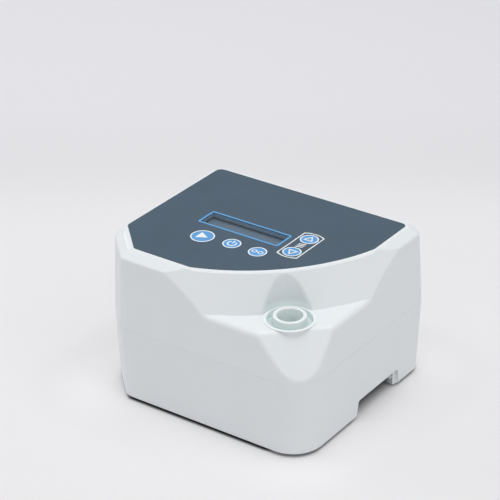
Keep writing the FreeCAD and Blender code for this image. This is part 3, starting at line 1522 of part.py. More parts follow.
def make_inlet_foam():
    """Open cell foam block that quiets the inlet, over the channel's roof opening."""
    half = size["tray_width"]/2 + 1
    foot = ROOF_TOP + 0.1
    return box("inlet_foam", (TRAY_LEFT - 1, TRAY_Y - half, foot),
               (TRAY_RIGHT + 4, TRAY_Y + half, foot + size["foam_height"]))


def make_drawer():
    """Pull-out tray that holds the filter across the air channel."""
    body = new_body("filter_drawer")
    left, right = TRAY_LEFT, TRAY_RIGHT
    front, back = TRAY_Y - size["tray_width"]/2, TRAY_Y + size["tray_width"]/2
    wall = size["tray_wall"]
    pad(body, plate(body, "tray", TRAY_BOTTOM, left, front, right, back, 2), size["tray_height"])
    well = plate(body, "tray_well", TRAY_TOP, left + wall, front + wall, right - wall, back - wall, 1)
    pocket(body, well, size["tray_height"] - wall)
    grille = new_sketch(body, "tray_grille", TRAY_BOTTOM + wall)
    bays = 3
    bar = size["tray_bar"]
    bay_x = (right - left - 2*wall - (bays + 1)*bar)/bays
    bay_y = (back - front - 2*wall - (bays + 1)*bar)/bays
    for column in range(bays):
        for row in range(bays):
            x = left + wall + bar + column*(bay_x + bar)
            y = front + wall + bar + row*(bay_y + bar)
            rectangle(grille, x, y, x + bay_x, y + bay_y, 1)
    pocket(body, grille, wall)
    pull_half = size["pull_width"]/2
    pull = plate(body, "tray_pull", TRAY_BOTTOM + 0.5, right - 2*wall, TRAY_Y - pull_half,
                 right - wall, TRAY_Y + pull_half)
    pad(body, pull, size["pull_height"], back=True)
    return body


def make_filter():
    """Washable filter pad lying in the drawer."""
    gap = size["tray_wall"] + 0.4
    half = size["tray_width"]/2
    return box("air_filter", (TRAY_LEFT + gap, TRAY_Y - half + gap, TRAY_BOTTOM + size["tray_wall"]),
               (TRAY_RIGHT - gap, TRAY_Y + half - gap, TRAY_TOP - 0.4))


# ---------------------------------------------------------------- the machine

upper_housing = make_upper_housing()
lcd_module, lcd_glass = make_lcd()
board_screws = group("board_screws", (small_screws("board_screw", BOARD_POSTS, BOARD_BOTTOM, points_up=True)
                                      + small_screws("power_screw", POWER_POSTS, POWER_BOARD_TOP)))
volute_screws = group("volute_screws", small_screws("volute_screw", EARS, COVER_TOP))

NODES = [
    upper_housing, make_lower_housing(), make_case_screws(), make_feet(),
    make_film(), make_window(), *(make_key(label, *place) for label, place in KEYS.items()),
    make_control_board(), lcd_module, lcd_glass, make_switches(), board_screws,
    make_pressure_sensor(), make_sensor_tube(),
    make_blower_base(), make_blower_cover(), volute_screws, make_blower_mounts(),
    make_impeller(), make_shaft(), make_bearings(), make_stator(), make_windings(),
    make_rotor_can(), make_magnet(),
    make_coupling(), make_elbow(), make_outlet_port(), make_seal(),
    make_inlet_foam(), make_drawer(), make_filter(),
    make_power_board(), make_jack(), make_capacitors(),
]

# ---------------------------------------------------------------- check and write

doc.recompute()


def check(item):
    """Refuse a failed feature or a bad shape."""
    failed = {"Invalid", "Error"} & set(item.State)
    if failed:
        raise RuntimeError(f"{item.Label}: {sorted(failed)}")


for item in doc.Objects:
    check(item)
os.makedirs("parts", exist_ok=True)
for node in NODES:
    if node.Shape.isNull() or not node.Shape.isValid():
        raise RuntimeError(f"{node.Label}: bad shape")
    node.Shape.exportStep(f"parts/{node.Label}.step")
    print(f"{node.Label:20s} solids {len(node.Shape.Solids):2d} volume {node.Shape.Volume:10.1f}")
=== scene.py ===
"""Looks of the bedside breathing machine: moulded case, printed keypad, display and studio."""

import json
import math

import bpy
from mathutils import Matrix, Vector


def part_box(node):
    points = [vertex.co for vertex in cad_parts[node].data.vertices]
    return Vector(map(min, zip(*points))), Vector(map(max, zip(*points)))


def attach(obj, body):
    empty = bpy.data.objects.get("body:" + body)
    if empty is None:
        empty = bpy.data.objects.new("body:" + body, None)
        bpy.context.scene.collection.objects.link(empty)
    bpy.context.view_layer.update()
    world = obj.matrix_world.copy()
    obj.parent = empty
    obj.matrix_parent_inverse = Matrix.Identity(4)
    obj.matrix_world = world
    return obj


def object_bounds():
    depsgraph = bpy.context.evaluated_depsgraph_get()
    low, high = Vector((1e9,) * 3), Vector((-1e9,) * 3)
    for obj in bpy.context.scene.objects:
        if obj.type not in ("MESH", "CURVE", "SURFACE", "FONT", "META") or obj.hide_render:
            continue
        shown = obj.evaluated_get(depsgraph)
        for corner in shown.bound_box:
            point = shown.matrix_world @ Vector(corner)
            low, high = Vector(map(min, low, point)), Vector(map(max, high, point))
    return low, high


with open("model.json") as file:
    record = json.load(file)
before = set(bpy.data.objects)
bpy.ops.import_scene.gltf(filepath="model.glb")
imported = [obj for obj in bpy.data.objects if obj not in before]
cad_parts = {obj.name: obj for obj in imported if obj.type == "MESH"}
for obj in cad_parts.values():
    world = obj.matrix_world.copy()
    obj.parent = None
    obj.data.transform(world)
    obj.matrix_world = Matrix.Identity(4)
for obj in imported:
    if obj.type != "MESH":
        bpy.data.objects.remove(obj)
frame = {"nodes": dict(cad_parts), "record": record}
CAD_BOX = [list(corner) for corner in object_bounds()]
MM = 0.001

# ---------------------------------------------------------------- places taken from the frame

FILM_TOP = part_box("panel_overlay")[1].z
WINDOW_LOW, WINDOW_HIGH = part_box("display_window")
PORT_LOW, PORT_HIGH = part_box("outlet_port")
CASE_LOW, CASE_HIGH = Vector(CAD_BOX[0]), Vector(CAD_BOX[1])
OUTLET = (PORT_LOW + PORT_HIGH)/2
OUTLET.z = 0


def middle(node):
    """The middle of a node's box."""
    low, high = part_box(node)
    return (low + high)/2


# ---------------------------------------------------------------- camera

CAMERA_PLACE = Vector((0.678891, -0.977631, 0.730088))
CAMERA_AZIMUTH = math.radians(35.113)
CAMERA_HEIGHT = math.radians(27.949)
CAMERA_ROLL = math.radians(-0.331)
LENS = 146.02


def make_camera():
    """The photograph's viewpoint: a long lens from the front right, looking down."""
    backward = Vector((math.sin(CAMERA_AZIMUTH)*math.cos(CAMERA_HEIGHT),
                       -math.cos(CAMERA_AZIMUTH)*math.cos(CAMERA_HEIGHT), math.sin(CAMERA_HEIGHT)))
    right = Vector((0, 0, 1)).cross(backward).normalized()
    up = backward.cross(right)
    rolled_right = math.cos(CAMERA_ROLL)*right + math.sin(CAMERA_ROLL)*up
    rolled_up = -math.sin(CAMERA_ROLL)*right + math.cos(CAMERA_ROLL)*up
    camera = bpy.data.objects.new("camera", bpy.data.cameras.new("camera"))
    bpy.context.collection.objects.link(camera)
    camera.data.lens = LENS
    camera.data.sensor_width = 36
    camera.matrix_world = (Matrix.Translation(CAMERA_PLACE)
                           @ Matrix((rolled_right, rolled_up, backward)).transposed().to_4x4())
    bpy.context.scene.camera = camera


# ---------------------------------------------------------------- materials

# The part of a noise's range that a mottle spreads over its two colours
MOTTLE_RANGE = 0.3, 0.7
GRAIN_STRENGTH = 0.3
# Noise scales: a plastic's clouds, sheen and grain, a metal's sheen and grain, and an ink's clouds
CLOUDS, SHEEN, GRAIN = 40, 120, 2600
METAL_SHEEN, METAL_GRAIN = 300, 1200
INK_CLOUDS = 900
# How far the roughness wanders either way, and how deep a metal's grain is in metres
SHEEN_SPREAD, METAL_SPREAD = 0.05, 0.08
METAL_GRAIN_DEPTH = 0.000005


class Shader:
    """A node material with its surface shader, and short calls to feed it."""

    def __init__(self, name, colour, roughness, **sockets):
        self.material = bpy.data.materials.new(name)
        self.material.use_nodes = True
        self.tree = self.material.node_tree
        self.surface = self.tree.nodes["Principled BSDF"]
        self.set("Base Color", (*colour, 1))
        self.set("Roughness", roughness)
        for socket, value in sockets.items():
            self.set(socket.replace("_", " "), value)

    def set(self, socket, value):
        self.surface.inputs[socket].default_value = value

    def node(self, kind, **settings):
        made = self.tree.nodes.new(f"ShaderNode{kind}")
        for name, value in settings.items():
            setattr(made, name, value)
        return made

    def join(self, source, target):
        self.tree.links.new(source, target)

    def mix_surface(self, factor, none, full):
        """Show one surface where a factor is 0 and another where it is 1."""
        mixer = self.node("MixShader")
        for source, socket in zip((factor, none, full), mixer.inputs):
            self.join(source, socket)
        self.join(mixer.outputs["Shader"], self.tree.nodes["Material Output"].inputs["Surface"])

    def place(self):
        """Position on the object, in metres."""
        return self.node("TexCoord").outputs["Object"]

    def height(self):
        """Height on the object, in metres."""
        parts = self.node("SeparateXYZ")
        self.join(self.place(), parts.inputs["Vector"])
        return parts.outputs["Z"]

    def noise(self, scale, detail=3.0):
        texture = self.node("TexNoise")
        texture.inputs["Scale"].default_value = scale
        texture.inputs["Detail"].default_value = detail
        self.join(self.place(), texture.inputs["Vector"])
        return texture.outputs["Fac"]

    def mottle(self, low, high, scale):
        """Let the base colour wander between two colours."""
        ramp = self.node("ValToRGB")
        ends = ramp.color_ramp.elements
        ends[0].position, ends[1].position = MOTTLE_RANGE
        ends[0].color, ends[1].color = (*low, 1), (*high, 1)
        self.join(self.noise(scale), ramp.inputs["Fac"])
        self.join(ramp.outputs["Color"], self.surface.inputs["Base Color"])

    def vary_roughness(self, low, high, scale):
        """Let the roughness wander between two values."""
        spread = self.node("MapRange")
        spread.inputs["To Min"].default_value = low
        spread.inputs["To Max"].default_value = high
        self.join(self.noise(scale, 4), spread.inputs["Value"])
        self.join(spread.outputs["Result"], self.surface.inputs["Roughness"])

    def grain(self, scale, depth):
        """Fine texture as a bump of a real depth."""
        bump = self.node("Bump")
        bump.inputs["Distance"].default_value = depth
        bump.inputs["Strength"].default_value = GRAIN_STRENGTH
        self.join(self.noise(scale, 2), bump.inputs["Height"])
        self.join(bump.outputs["Normal"], self.surface.inputs["Normal"])


def moulded(name, colour, roughness=0.42, spread=0.02, grain=0.00002):
    """Injection moulded plastic: slight cloudiness, uneven sheen, fine spark-eroded grain."""
    low = tuple(max(0, part*(1 - spread)) for part in colour)
    high = tuple(min(1, part*(1 + spread)) for part in colour)
    shader = Shader(name, colour, roughness, Specular_IOR_Level=0.45)
    shader.mottle(low, high, CLOUDS)
    shader.vary_roughness(roughness - SHEEN_SPREAD, roughness + SHEEN_SPREAD, SHEEN)
    shader.grain(GRAIN, grain)
    return shader


def metal(name, colour, roughness):
    """Bare metal: uneven sheen and very fine grain."""
    shader = Shader(name, colour, roughness, Metallic=1.0)
    shader.vary_roughness(roughness - METAL_SPREAD, roughness + METAL_SPREAD, METAL_SHEEN)
    shader.grain(METAL_GRAIN, METAL_GRAIN_DEPTH)
    return shader


# Case plastic, with a painted highlight on the scoop's edge and painted shade in the opening, bottom and
# notch
HOUSING = (0.75, 0.784, 0.80)
HOUSING_ROUGHNESS, HOUSING_SPREAD = 0.40, 0.006
SCOOP_EDGE_HIGHLIGHT = (0.865, 0.90, 0.915)
OPENING_SHADE = (0.25, 0.39, 0.49)
UNDERSIDE_SHADE = (0.03, 0.03, 0.032)
NOTCH_SHADE = (0.36, 0.40, 0.42)
# Outlet: the cup's floor, the spigot, the insides of both (the plastic's teal tint made pale by painted
# light) and their rims (off-white, with a painted highlight)
CUP_FLOOR = (0.62, 0.715, 0.715)
PORT = (0.78, 0.84, 0.84)
CUP_PAINTED_LIGHT = (0.90, 0.985, 0.97)
RIM_WHITE_AND_HIGHLIGHT = (0.79, 0.825, 0.84)
# Keypad
PANEL = (0.054, 0.091, 0.128)
KEY_BLUE = (0.10, 0.32, 0.64)
FILM_GLOSS = 0.35
INK_WHITE = (0.80, 0.84, 0.86)
INK_BLUE = (0.12, 0.36, 0.68)
# The display's window, and how steeply its sheen grows towards grazing sight
WINDOW_TINT, WINDOW_STEEPNESS = (0.85, 0.88, 0.92), 5

# How far inside the walls the scoop's edge starts, and its band of painted highlight, measured down from
# the top
SHOULDER = Vector((9.5, 9.5, 0))*MM
BAND_START, BAND_FULL = 0.2*MM, 0.7*MM
BAND_FADES, BAND_END = 1.0*MM, 1.6*MM
OPENING_MARGIN = Vector((1, 1, 4))*MM
UNDERSIDE_TOP = 2.05*MM
# Where light is painted: the cup's inside, the rim round it as a painted highlight, and the foot of the
# scallop above it
CUP_RADIUS, CUP_BOTTOM, CUP_TOP = 15.2*MM, 73*MM, 85.9*MM
RIM_RADIUS, RIM_HEIGHT = 16.6*MM, 2*MM
SCALLOP_RADIUS, SCALLOP_START, SCALLOP_HEIGHT = 17.8*MM, 0.3*MM, 6*MM
BORE_RADIUS = 10*MM
PORT_RIM_DEPTH = 0.6*MM


def fade(shader, source, full, none):
    """1 where a number is at its first limit, smoothly down to 0 at the second."""
    spread = shader.node("MapRange", interpolation_type="SMOOTHSTEP")
    spread.inputs["From Min"].default_value = full
    spread.inputs["From Max"].default_value = none
    spread.inputs["To Min"].default_value = 1.0
    spread.inputs["To Max"].default_value = 0.0
    shader.join(source, spread.inputs["Value"])
    return spread.outputs["Result"]


def both(shader, first, second):
    """1 where two masks are both 1."""
    product = shader.node("Math", operation="MULTIPLY")
    shader.join(first, product.inputs[0])
    shader.join(second, product.inputs[1])
    return product.outputs["Value"]


def larger(shader, first, second):
    """The larger of two numbers."""
    most = shader.node("Math", operation="MAXIMUM")
    shader.join(first, most.inputs[0])
    shader.join(second, most.inputs[1])
    return most.outputs["Value"]


def round_outlet(shader, radius):
    """1 within a radius of the outlet's upright axis, 0 outside."""
    flat = shader.node("VectorMath", operation="MULTIPLY")
    flat.inputs[1].default_value = (1, 1, 0)
    shader.join(shader.place(), flat.inputs[0])
    apart = shader.node("VectorMath", operation="DISTANCE")
    apart.inputs[1].default_value = OUTLET
    shader.join(flat.outputs["Vector"], apart.inputs[0])
    near = shader.node("Math", operation="LESS_THAN")
    near.inputs[1].default_value = radius
    shader.join(apart.outputs["Value"], near.inputs[0])
    return near.outputs["Value"]


def inside(shader, low, high):
    """1 inside a box in the object's space, 0 outside."""
    apart = shader.node("SeparateXYZ")
    shader.join(shader.place(), apart.inputs["Vector"])
    mask = None
    for axis, (start, end) in enumerate(zip(low, high)):
        near = shader.node("Math", operation="COMPARE")
        near.inputs[1].default_value = (start + end)/2
        near.inputs[2].default_value = (end - start)/2
        shader.join(apart.outputs[axis], near.inputs[0])
        mask = both(shader, mask, near.outputs["Value"]) if mask else near.outputs["Value"]
    return mask


def paint(shader, mask, colour):
    """Lay a colour over the base colour where a mask is 1."""
    base = shader.surface.inputs["Base Color"]
    mixer = shader.node("Mix", data_type="RGBA")
    shader.join(mask, mixer.inputs["Factor"])
    shader.join(base.links[0].from_socket, mixer.inputs[6])
    mixer.inputs[7].default_value = (*colour, 1)
    shader.join(mixer.outputs[2], base)


def outlet_drum(shader, radius, bottom, top):
    """1 within a radius of the outlet's axis and between two heights, 0 outside."""
    reach = Vector((radius, radius, 0))
    slab = inside(shader, OUTLET + Vector((0, 0, bottom)) - reach, OUTLET + Vector((0, 0, top)) + reach)
    return both(shader, slab, round_outlet(shader, radius))


def scoop_edge_highlight_mask(shader):
    """1 in a band just under the case's top, away from the outer walls' shoulders: where the highlight is
    painted.
    """
    top = CASE_HIGH.z
    starts = fade(shader, shader.height(), top - BAND_FULL, top - BAND_START)
    ends = fade(shader, shader.height(), top - BAND_FADES, top - BAND_END)
    within = inside(shader, CASE_LOW + SHOULDER, CASE_HIGH - SHOULDER)
    return both(shader, within, both(shader, starts, ends))


def shaded_bottom_mask(shader):
    """1 below the case's lower edge, where shade is painted on the case's bottom."""
    wide = Vector((1, 1, 0))
    return inside(shader, -wide, wide + Vector((0, 0, UNDERSIDE_TOP)))


def scallop_foot_light_mask(shader):
    """1 at the foot of the scallop over the cup, smoothly down to 0 up its wall: painted light that fades
    upward.
    """
    top = CUP_TOP + SCALLOP_HEIGHT
    drum = outlet_drum(shader, SCALLOP_RADIUS, CUP_TOP + SCALLOP_START, top)
    return both(shader, drum, fade(shader, shader.height(), CUP_TOP, top))


def housing_material():
    """Off-white case: painted highlight on the scoop's edge, painted shade in the opening and below,
    painted light in the cup.
    """
    shader = moulded("housing_plastic", HOUSING, HOUSING_ROUGHNESS, HOUSING_SPREAD)
    # Painted highlight: a lighter band along the scoop's upper edge
    paint(shader, scoop_edge_highlight_mask(shader), SCOOP_EDGE_HIGHLIGHT)
    # Painted shade on the walls of the display's opening
    opening = inside(shader, WINDOW_LOW - OPENING_MARGIN, WINDOW_HIGH + OPENING_MARGIN)
    paint(shader, opening, OPENING_SHADE)
    # Painted shade on the case's bottom, which keeps light from bouncing into the gap under the case
    paint(shader, shaded_bottom_mask(shader), UNDERSIDE_SHADE)
    # Painted light: the cup's inside and the scallop's foot painted pale teal, brighter than the case,
    # lifting their shade
    paint(shader, outlet_drum(shader, CUP_RADIUS, CUP_BOTTOM, CUP_TOP), CUP_PAINTED_LIGHT)
    paint(shader, scallop_foot_light_mask(shader), CUP_PAINTED_LIGHT)
    # Painted highlight: the case's rim round the cup a little lighter than the case
    paint(shader, outlet_drum(shader, RIM_RADIUS, CUP_TOP, CUP_TOP + RIM_HEIGHT), RIM_WHITE_AND_HIGHLIGHT)
    return shader


def port_material():
    """Pale green spigot with a white rim, its bore painted pale as painted light in place of the bore's
    shade.
    """
    shader = moulded("port_plastic", PORT, 0.35)
    # Painted light: the bore painted pale, lifting the shade inside the spigot
    paint(shader, round_outlet(shader, BORE_RADIUS), CUP_PAINTED_LIGHT)
    # The spigot's top ring in off-white, not the port's pale green
    rim_low = Vector((PORT_LOW.x, PORT_LOW.y, PORT_HIGH.z - PORT_RIM_DEPTH))
    paint(shader, inside(shader, rim_low, PORT_HIGH + Vector((0, 0, MM))), RIM_WHITE_AND_HIGHLIGHT)
    return shader


def window_material():
    """Thin tinted glass: clear, with a sheen that grows towards grazing sight."""
    shader = Shader("tinted_window", (1, 1, 1), 0.08, Metallic=1.0)
    shader.vary_roughness(0.06, 0.12, 200)
    clear = shader.node("BsdfTransparent")
    clear.inputs["Color"].default_value = (*WINDOW_TINT, 1)
    facing = shader.node("LayerWeight")
    steep = shader.node("Math", operation="POWER")
    steep.inputs[1].default_value = WINDOW_STEEPNESS
    shader.join(facing.outputs["Facing"], steep.inputs[0])
    shader.mix_surface(steep.outputs["Value"], clear.outputs["BSDF"], shader.surface.outputs["BSDF"])
    return shader


def ink(name, colour):
    """Screen printed ink: almost even, with a faint mottle."""
    shader = Shader(name, colour, 0.5, Specular_IOR_Level=0.2)
    shader.mottle(tuple(0.97*part for part in colour), colour, INK_CLOUDS)
    return shader


def make_materials():
    """One material for each slot of the record."""
    made = {
        "housing": housing_material(),
        "panel": moulded("panel_film", PANEL, 0.5, 0.03, 0.00001),
        "key": moulded("key_blue", KEY_BLUE, 0.5, 0.02, 0.00001),
        "circuit_board": moulded("solder_resist", (0.01, 0.10, 0.04), 0.30, 0.10),
        "lcd_frame": moulded("display_bezel", (0.16, 0.22, 0.27), 0.45),
        "lcd_glass": moulded("display_glass", (0.22, 0.28, 0.32), 0.25, 0.03),
        "switch": moulded("switch_black", (0.02, 0.02, 0.02), 0.45, 0.1),
        "steel": metal("zinc_plate", (0.60, 0.60, 0.58), 0.35),
        "ground_steel": metal("ground_steel", (0.65, 0.65, 0.66), 0.22),
        "sensor": moulded("sensor_white", (0.75, 0.75, 0.70), 0.35),
        "hose": moulded("hose_silicone", (0.62, 0.66, 0.63), 0.40),
        "duct": moulded("duct_grey", (0.50, 0.52, 0.52), 0.45),
        "port": port_material(),
        "window": window_material(),
        "rubber": moulded("black_rubber", (0.02, 0.02, 0.02), 0.75, 0.2),
        "silicone": moulded("grey_silicone", (0.22, 0.25, 0.27), 0.60, 0.1),
        "volute": moulded("glass_filled_nylon", (0.035, 0.038, 0.042), 0.55, 0.15),
        "impeller": moulded("impeller_white", (0.72, 0.72, 0.68), 0.40),
        "core": metal("lamination_steel", (0.25, 0.25, 0.27), 0.50),
        "copper": metal("enamelled_copper", (0.60, 0.22, 0.07), 0.30),
        "magnet": moulded("ferrite", (0.03, 0.028, 0.028), 0.60, 0.15),
        "foam": moulded("open_cell_foam", (0.03, 0.03, 0.033), 0.95, 0.4, 0.0004),
        "filter": moulded("filter_fleece", (0.70, 0.70, 0.64), 0.95, 0.08, 0.0003),
        "drawer": moulded("drawer_grey", (0.42, 0.45, 0.48), 0.50),
        "connector": moulded("connector_black", (0.015, 0.015, 0.015), 0.45, 0.1),
        "capacitor": moulded("capacitor_sleeve", (0.015, 0.02, 0.06), 0.35, 0.1),
    }
    for film in ("panel", "key"):
        made[film].set("Specular IOR Level", FILM_GLOSS)
    return {slot: shader.material for slot, shader in made.items()}


def dress_nodes(materials):
    """Give every CAD node its slot's material."""
    for entry in frame["record"]["subparts"]:
        node = frame["nodes"][entry["node"]]
        node.data.materials.clear()
        node.data.materials.append(materials[entry["material_slot"]])


# ---------------------------------------------------------------- printed graphics

# Plan sizes, in millimetres from each sign's own middle
FRAME_LINE, FRAME_GAP, FRAME_CORNER = 1.4, (1.3, 1.8), (1.8, 0.6)
ROCKER_BOX, ROCKER_BULGE = (8.0, 16.6), 2.2
ROCKER_BAR, ROCKER_BAR_RISE, ROCKER_BAR_LINE, ROCKER_BAR_PITCH = 2.6, 0.6, 1.0, 2.1
KEY_RING, KEY_RING_INSET = 0.9, 0.05
THIN_LINE = 0.85
START_REACH, START_SHIFT = 4.9, (-0.9, 0.2)
POWER_RADIUS, POWER_GAP, POWER_BAR, POWER_LINE = 2.9, (125, 415), (0.6, 3.9), 0.95
RAMP_RADIUS, RAMP_SIDE, RAMP_LINE = 2.0, 2.3, 0.75
ARROW_REACH = 4.3
INK_DEPTH = 0.04*MM


def circle(radius, steps=72):
    """Points all round, from the right."""
    return [(radius*math.cos(math.tau*i/steps), radius*math.sin(math.tau*i/steps)) for i in range(steps)]


def arc(radius, start, end, steps=32):
    """Points from one angle to another, in degrees."""
    angles = [math.radians(start + (end - start)*i/steps) for i in range(steps + 1)]
    return [(radius*math.cos(angle), radius*math.sin(angle)) for angle in angles]


def shifted(points, x, y):
    return [(px + x, py + y) for px, py in points]


def ring(radius, width):
    """Two outlines, of a ring's outer and inner edge."""
    return [circle(radius), circle(radius - width)]


def rounded(half_x, half_y, radius):
    """A rectangle with round corners."""
    corners = ((1, 1, 0), (-1, 1, 90), (-1, -1, 180), (1, -1, 270))
    return [point for across, up, turn in corners
            for point in shifted(arc(radius, turn, turn + 90, 8),
                                 across*(half_x - radius), up*(half_y - radius))]


def barrel(half_x, half_y, bulge, steps=24):
    """A rectangle whose short ends swell outward."""
    end = [(half_x*(1 - 2*i/steps), half_y + bulge*(1 - (1 - 2*i/steps)**2)) for i in range(steps + 1)]
    return end + [(-x, -y) for x, y in end]


def band(points, width):
    """A line of one width through points, as a closed outline."""
    left, right = [], []
    for i, (x, y) in enumerate(points):
        before = points[max(i - 1, 0)]
        after = points[min(i + 1, len(points) - 1)]
        along = Vector((after[0] - before[0], after[1] - before[1])).normalized()*width/2
        left.append((x - along.y, y + along.x))
        right.append((x + along.y, y - along.x))
    return left + right[::-1]


def triangle(reach, turn):
    """Corners at a distance from the middle, the first in one direction."""
    return [(reach*math.cos(math.radians(turn + 120*i)), reach*math.sin(math.radians(turn + 120*i)))
            for i in range(3)]


def plate(name, outlines, place, thickness, material, body):
    """A flat piece on its place: closed outlines in millimetres round that point, with holes."""
    curve = bpy.data.curves.new(name, "CURVE")
    curve.dimensions = "2D"
    curve.fill_mode = "BOTH"
    curve.extrude = thickness/2
    for outline in outlines:
        spline = curve.splines.new("POLY")
        spline.points.add(len(outline) - 1)
        for point, (x, y) in zip(spline.points, outline):
            point.co = (x*MM, y*MM, 0, 1)
        spline.use_cyclic_u = True
    piece = bpy.data.objects.new(name, curve)
    piece.location = (place.x, place.y, place.z + thickness/2)
    bpy.context.collection.objects.link(piece)
    curve.materials.append(material)
    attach(piece, body)


def printed(name, outlines, middle, material, body):
    """Ink on the keypad's flat top."""
    plate(name, outlines, Vector((middle.x, middle.y, FILM_TOP)), INK_DEPTH, material, body)


def start_sign():
    """Filled triangle that points right."""
    return [shifted(triangle(START_REACH, 0), *START_SHIFT)]


def power_sign():
    """Broken ring with a bar in its gap."""
    bar = [(0, height) for height in POWER_BAR]
    return [band(arc(POWER_RADIUS, *POWER_GAP), POWER_LINE), band(bar, POWER_LINE)]


def ramp_sign():
    """Two small rings, side by side."""
    return [shifted(outline, side*RAMP_SIDE, 0) for side in (-1, 1)
            for outline in ring(RAMP_RADIUS, RAMP_LINE)]


def arrow_sign(turn):
    """Outlined triangle that points up or down the panel."""
    return [triangle(ARROW_REACH, turn), triangle(ARROW_REACH - 2*THIN_LINE, turn)]


def print_panel(white, blue):
    """Frame round the display, box round the rocker keys and the sign between them."""
    half_x, half_y = ((high - low)/2/MM + gap
                      for low, high, gap in zip(WINDOW_LOW, WINDOW_HIGH, FRAME_GAP))
    frame_line = [rounded(half_x, half_y, FRAME_CORNER[0]),
                  rounded(half_x - FRAME_LINE, half_y - FRAME_LINE, FRAME_CORNER[1])]
    printed("ink_display_frame", frame_line, middle("display_window"), blue, "base")
    rocker = (middle("key_up") + middle("key_down"))/2
    half_x, half_y = ROCKER_BOX
    box_line = [barrel(half_x, half_y, ROCKER_BULGE),
                barrel(half_x - THIN_LINE, half_y - THIN_LINE, ROCKER_BULGE)]
    printed("ink_rocker_box", box_line, rocker, white, "base")
    bar = [(-ROCKER_BAR, -ROCKER_BAR_RISE), (ROCKER_BAR, ROCKER_BAR_RISE)]
    bars = [band(shifted(bar, 0, step*ROCKER_BAR_PITCH), ROCKER_BAR_LINE) for step in (-1, 0, 1)]
    printed("ink_rocker_sign", bars, rocker, white, "base")


def print_keys(white):
    """White edge ring and sign on each key, which move with it."""
    signs = {"start": start_sign(), "power": power_sign(), "ramp": ramp_sign(),
             "up": arrow_sign(90), "down": arrow_sign(-90)}
    for name, sign in signs.items():
        key = f"key_{name}"
        low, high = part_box(key)
        radius = (high.x - low.x)/2/MM
        edge = ring(radius - KEY_RING_INSET, KEY_RING)
        printed(f"ink_{name}_ring", edge, middle(key), white, key)
        printed(f"ink_{name}_sign", sign, middle(key), white, key)


# ---------------------------------------------------------------- small forms on the case

# Plan outlines in millimetres of the air notch's far end: its edge's narrow steps and the wall behind
NOTCH_EDGE = ((81.1, 45.0), (81.1, 39.2), (81.6, 39.4), (82.3, 41.6), (81.7, 41.9), (82.2, 42.3),
              (83.4, 44.4), (83.4, 45.0))
NOTCH_WALL = ((74.6, 45.0), (74.6, 39.3), (81.1, 39.3), (81.1, 45.0))
NOTCH_FOOT, NOTCH_HEIGHT = 2.2*MM, 12*MM
# The cup's floor and its rim's lip: outer and inner radius in millimetres, height and thickness
LINING_RADII, LINING_Z = (15.0, 11.05), 82.6*MM
LIP_RADII, LIP_Z = (17.1, 15.15), 86.0*MM
CUP_SHEET = 0.6*MM


def fill_notch_end(pale, shaded):
    """The wall at the far end of the air notch, in painted shade, and the narrow steps of its outer edge.
    """
    foot = Vector((0, 0, NOTCH_FOOT))
    plate("notch_edge", [NOTCH_EDGE], foot, NOTCH_HEIGHT, pale, "base")
    plate("notch_wall", [NOTCH_WALL], foot, NOTCH_HEIGHT, shaded, "base")


def line_cup(floor, rim):
    """The cup's pale floor round the spigot, and its rim's flat lip, in the rim's off-white with a
    painted highlight.
    """
    lining = [circle(radius) for radius in LINING_RADII]
    plate("cup_lining", lining, OUTLET + Vector((0, 0, LINING_Z)), CUP_SHEET, floor, "base")
    lip = [circle(radius) for radius in LIP_RADII]
    plate("cup_lip", lip, OUTLET + Vector((0, 0, LIP_Z)), CUP_SHEET, rim, "base")


# ---------------------------------------------------------------- studio

FLOOR_HALF = 4.0
# Distance behind the object in metres, and the paper's colour there: darkest, as painted shade, where the
# backdrop bends up, though this floor is flat
PAPER_WITH_PAINTED_SHADE = (
    (-0.14, (0.765, 0.756, 0.767)),
    (0.19, (0.780, 0.772, 0.782)),
    (0.26, (0.774, 0.768, 0.780)),
    (0.33, (0.712, 0.709, 0.729)),
    (0.45, (0.746, 0.744, 0.767)),
    (0.70, (0.780, 0.779, 0.804)),
)
PAPER_ROUGHNESS, PAPER_GLOSS = 0.9, 0.1
# Past the lamps' reach the paper shows as an even backdrop
FAR_PAPER = (0.76, 0.76, 0.78)
FAR_FULL, FAR_START = 2.2, 0.8
# A paler ring of painted light round the case, which offsets the soft shadow, and painted shadow in the
# gap under it
PAPER_NEAR_PAINTED_LIGHT, NEAR_REACH = (0.888, 0.878, 0.890), 50*MM
PAPER_UNDER_SHADOW = (0.075, 0.072, 0.072)
UNDER_FULL, UNDER_END = -1*MM, 3*MM
# The case's foot in plan: half sizes, corner radius, cut front left corner's leg, and where the painted
# shadow ends on the right
FOOT, FOOT_RADIUS = Vector((81.8, 72.3, 0))*MM, 12*MM
CUT_LEG = 25.0*MM
UNDER_RIGHT = 62*MM
# The air channel's plan on the floor, where painted shadow fades out over the blur
CHANNEL_LOW, CHANNEL_HIGH = Vector((0, -8, 0))*MM, Vector((68, 38, 0))*MM
CHANNEL_RADIUS, CHANNEL_BLUR = 6*MM, 14*MM
LIGHT_TARGET = Vector((0, 0, 0.05))
WORLD_COLOUR = (0.98, 0.985, 1.0)
WORLD_STRENGTH = 0.52
# Name, place, width in metres and power in watts
LIGHTS = (
    ("overhead", (0.0, 0.0, 1.8), 1.6, 17.2),
    ("upper_right", (1.0, 0.0, 1.5), 1.2, 3.2),
    ("left", (-1.7, -0.2, 0.8), 1.0, 4.0),
    ("front", (0.1, -1.7, 0.7), 1.0, 1.9),
    ("right", (1.9, -0.3, 0.35), 0.7, 1.8),
)


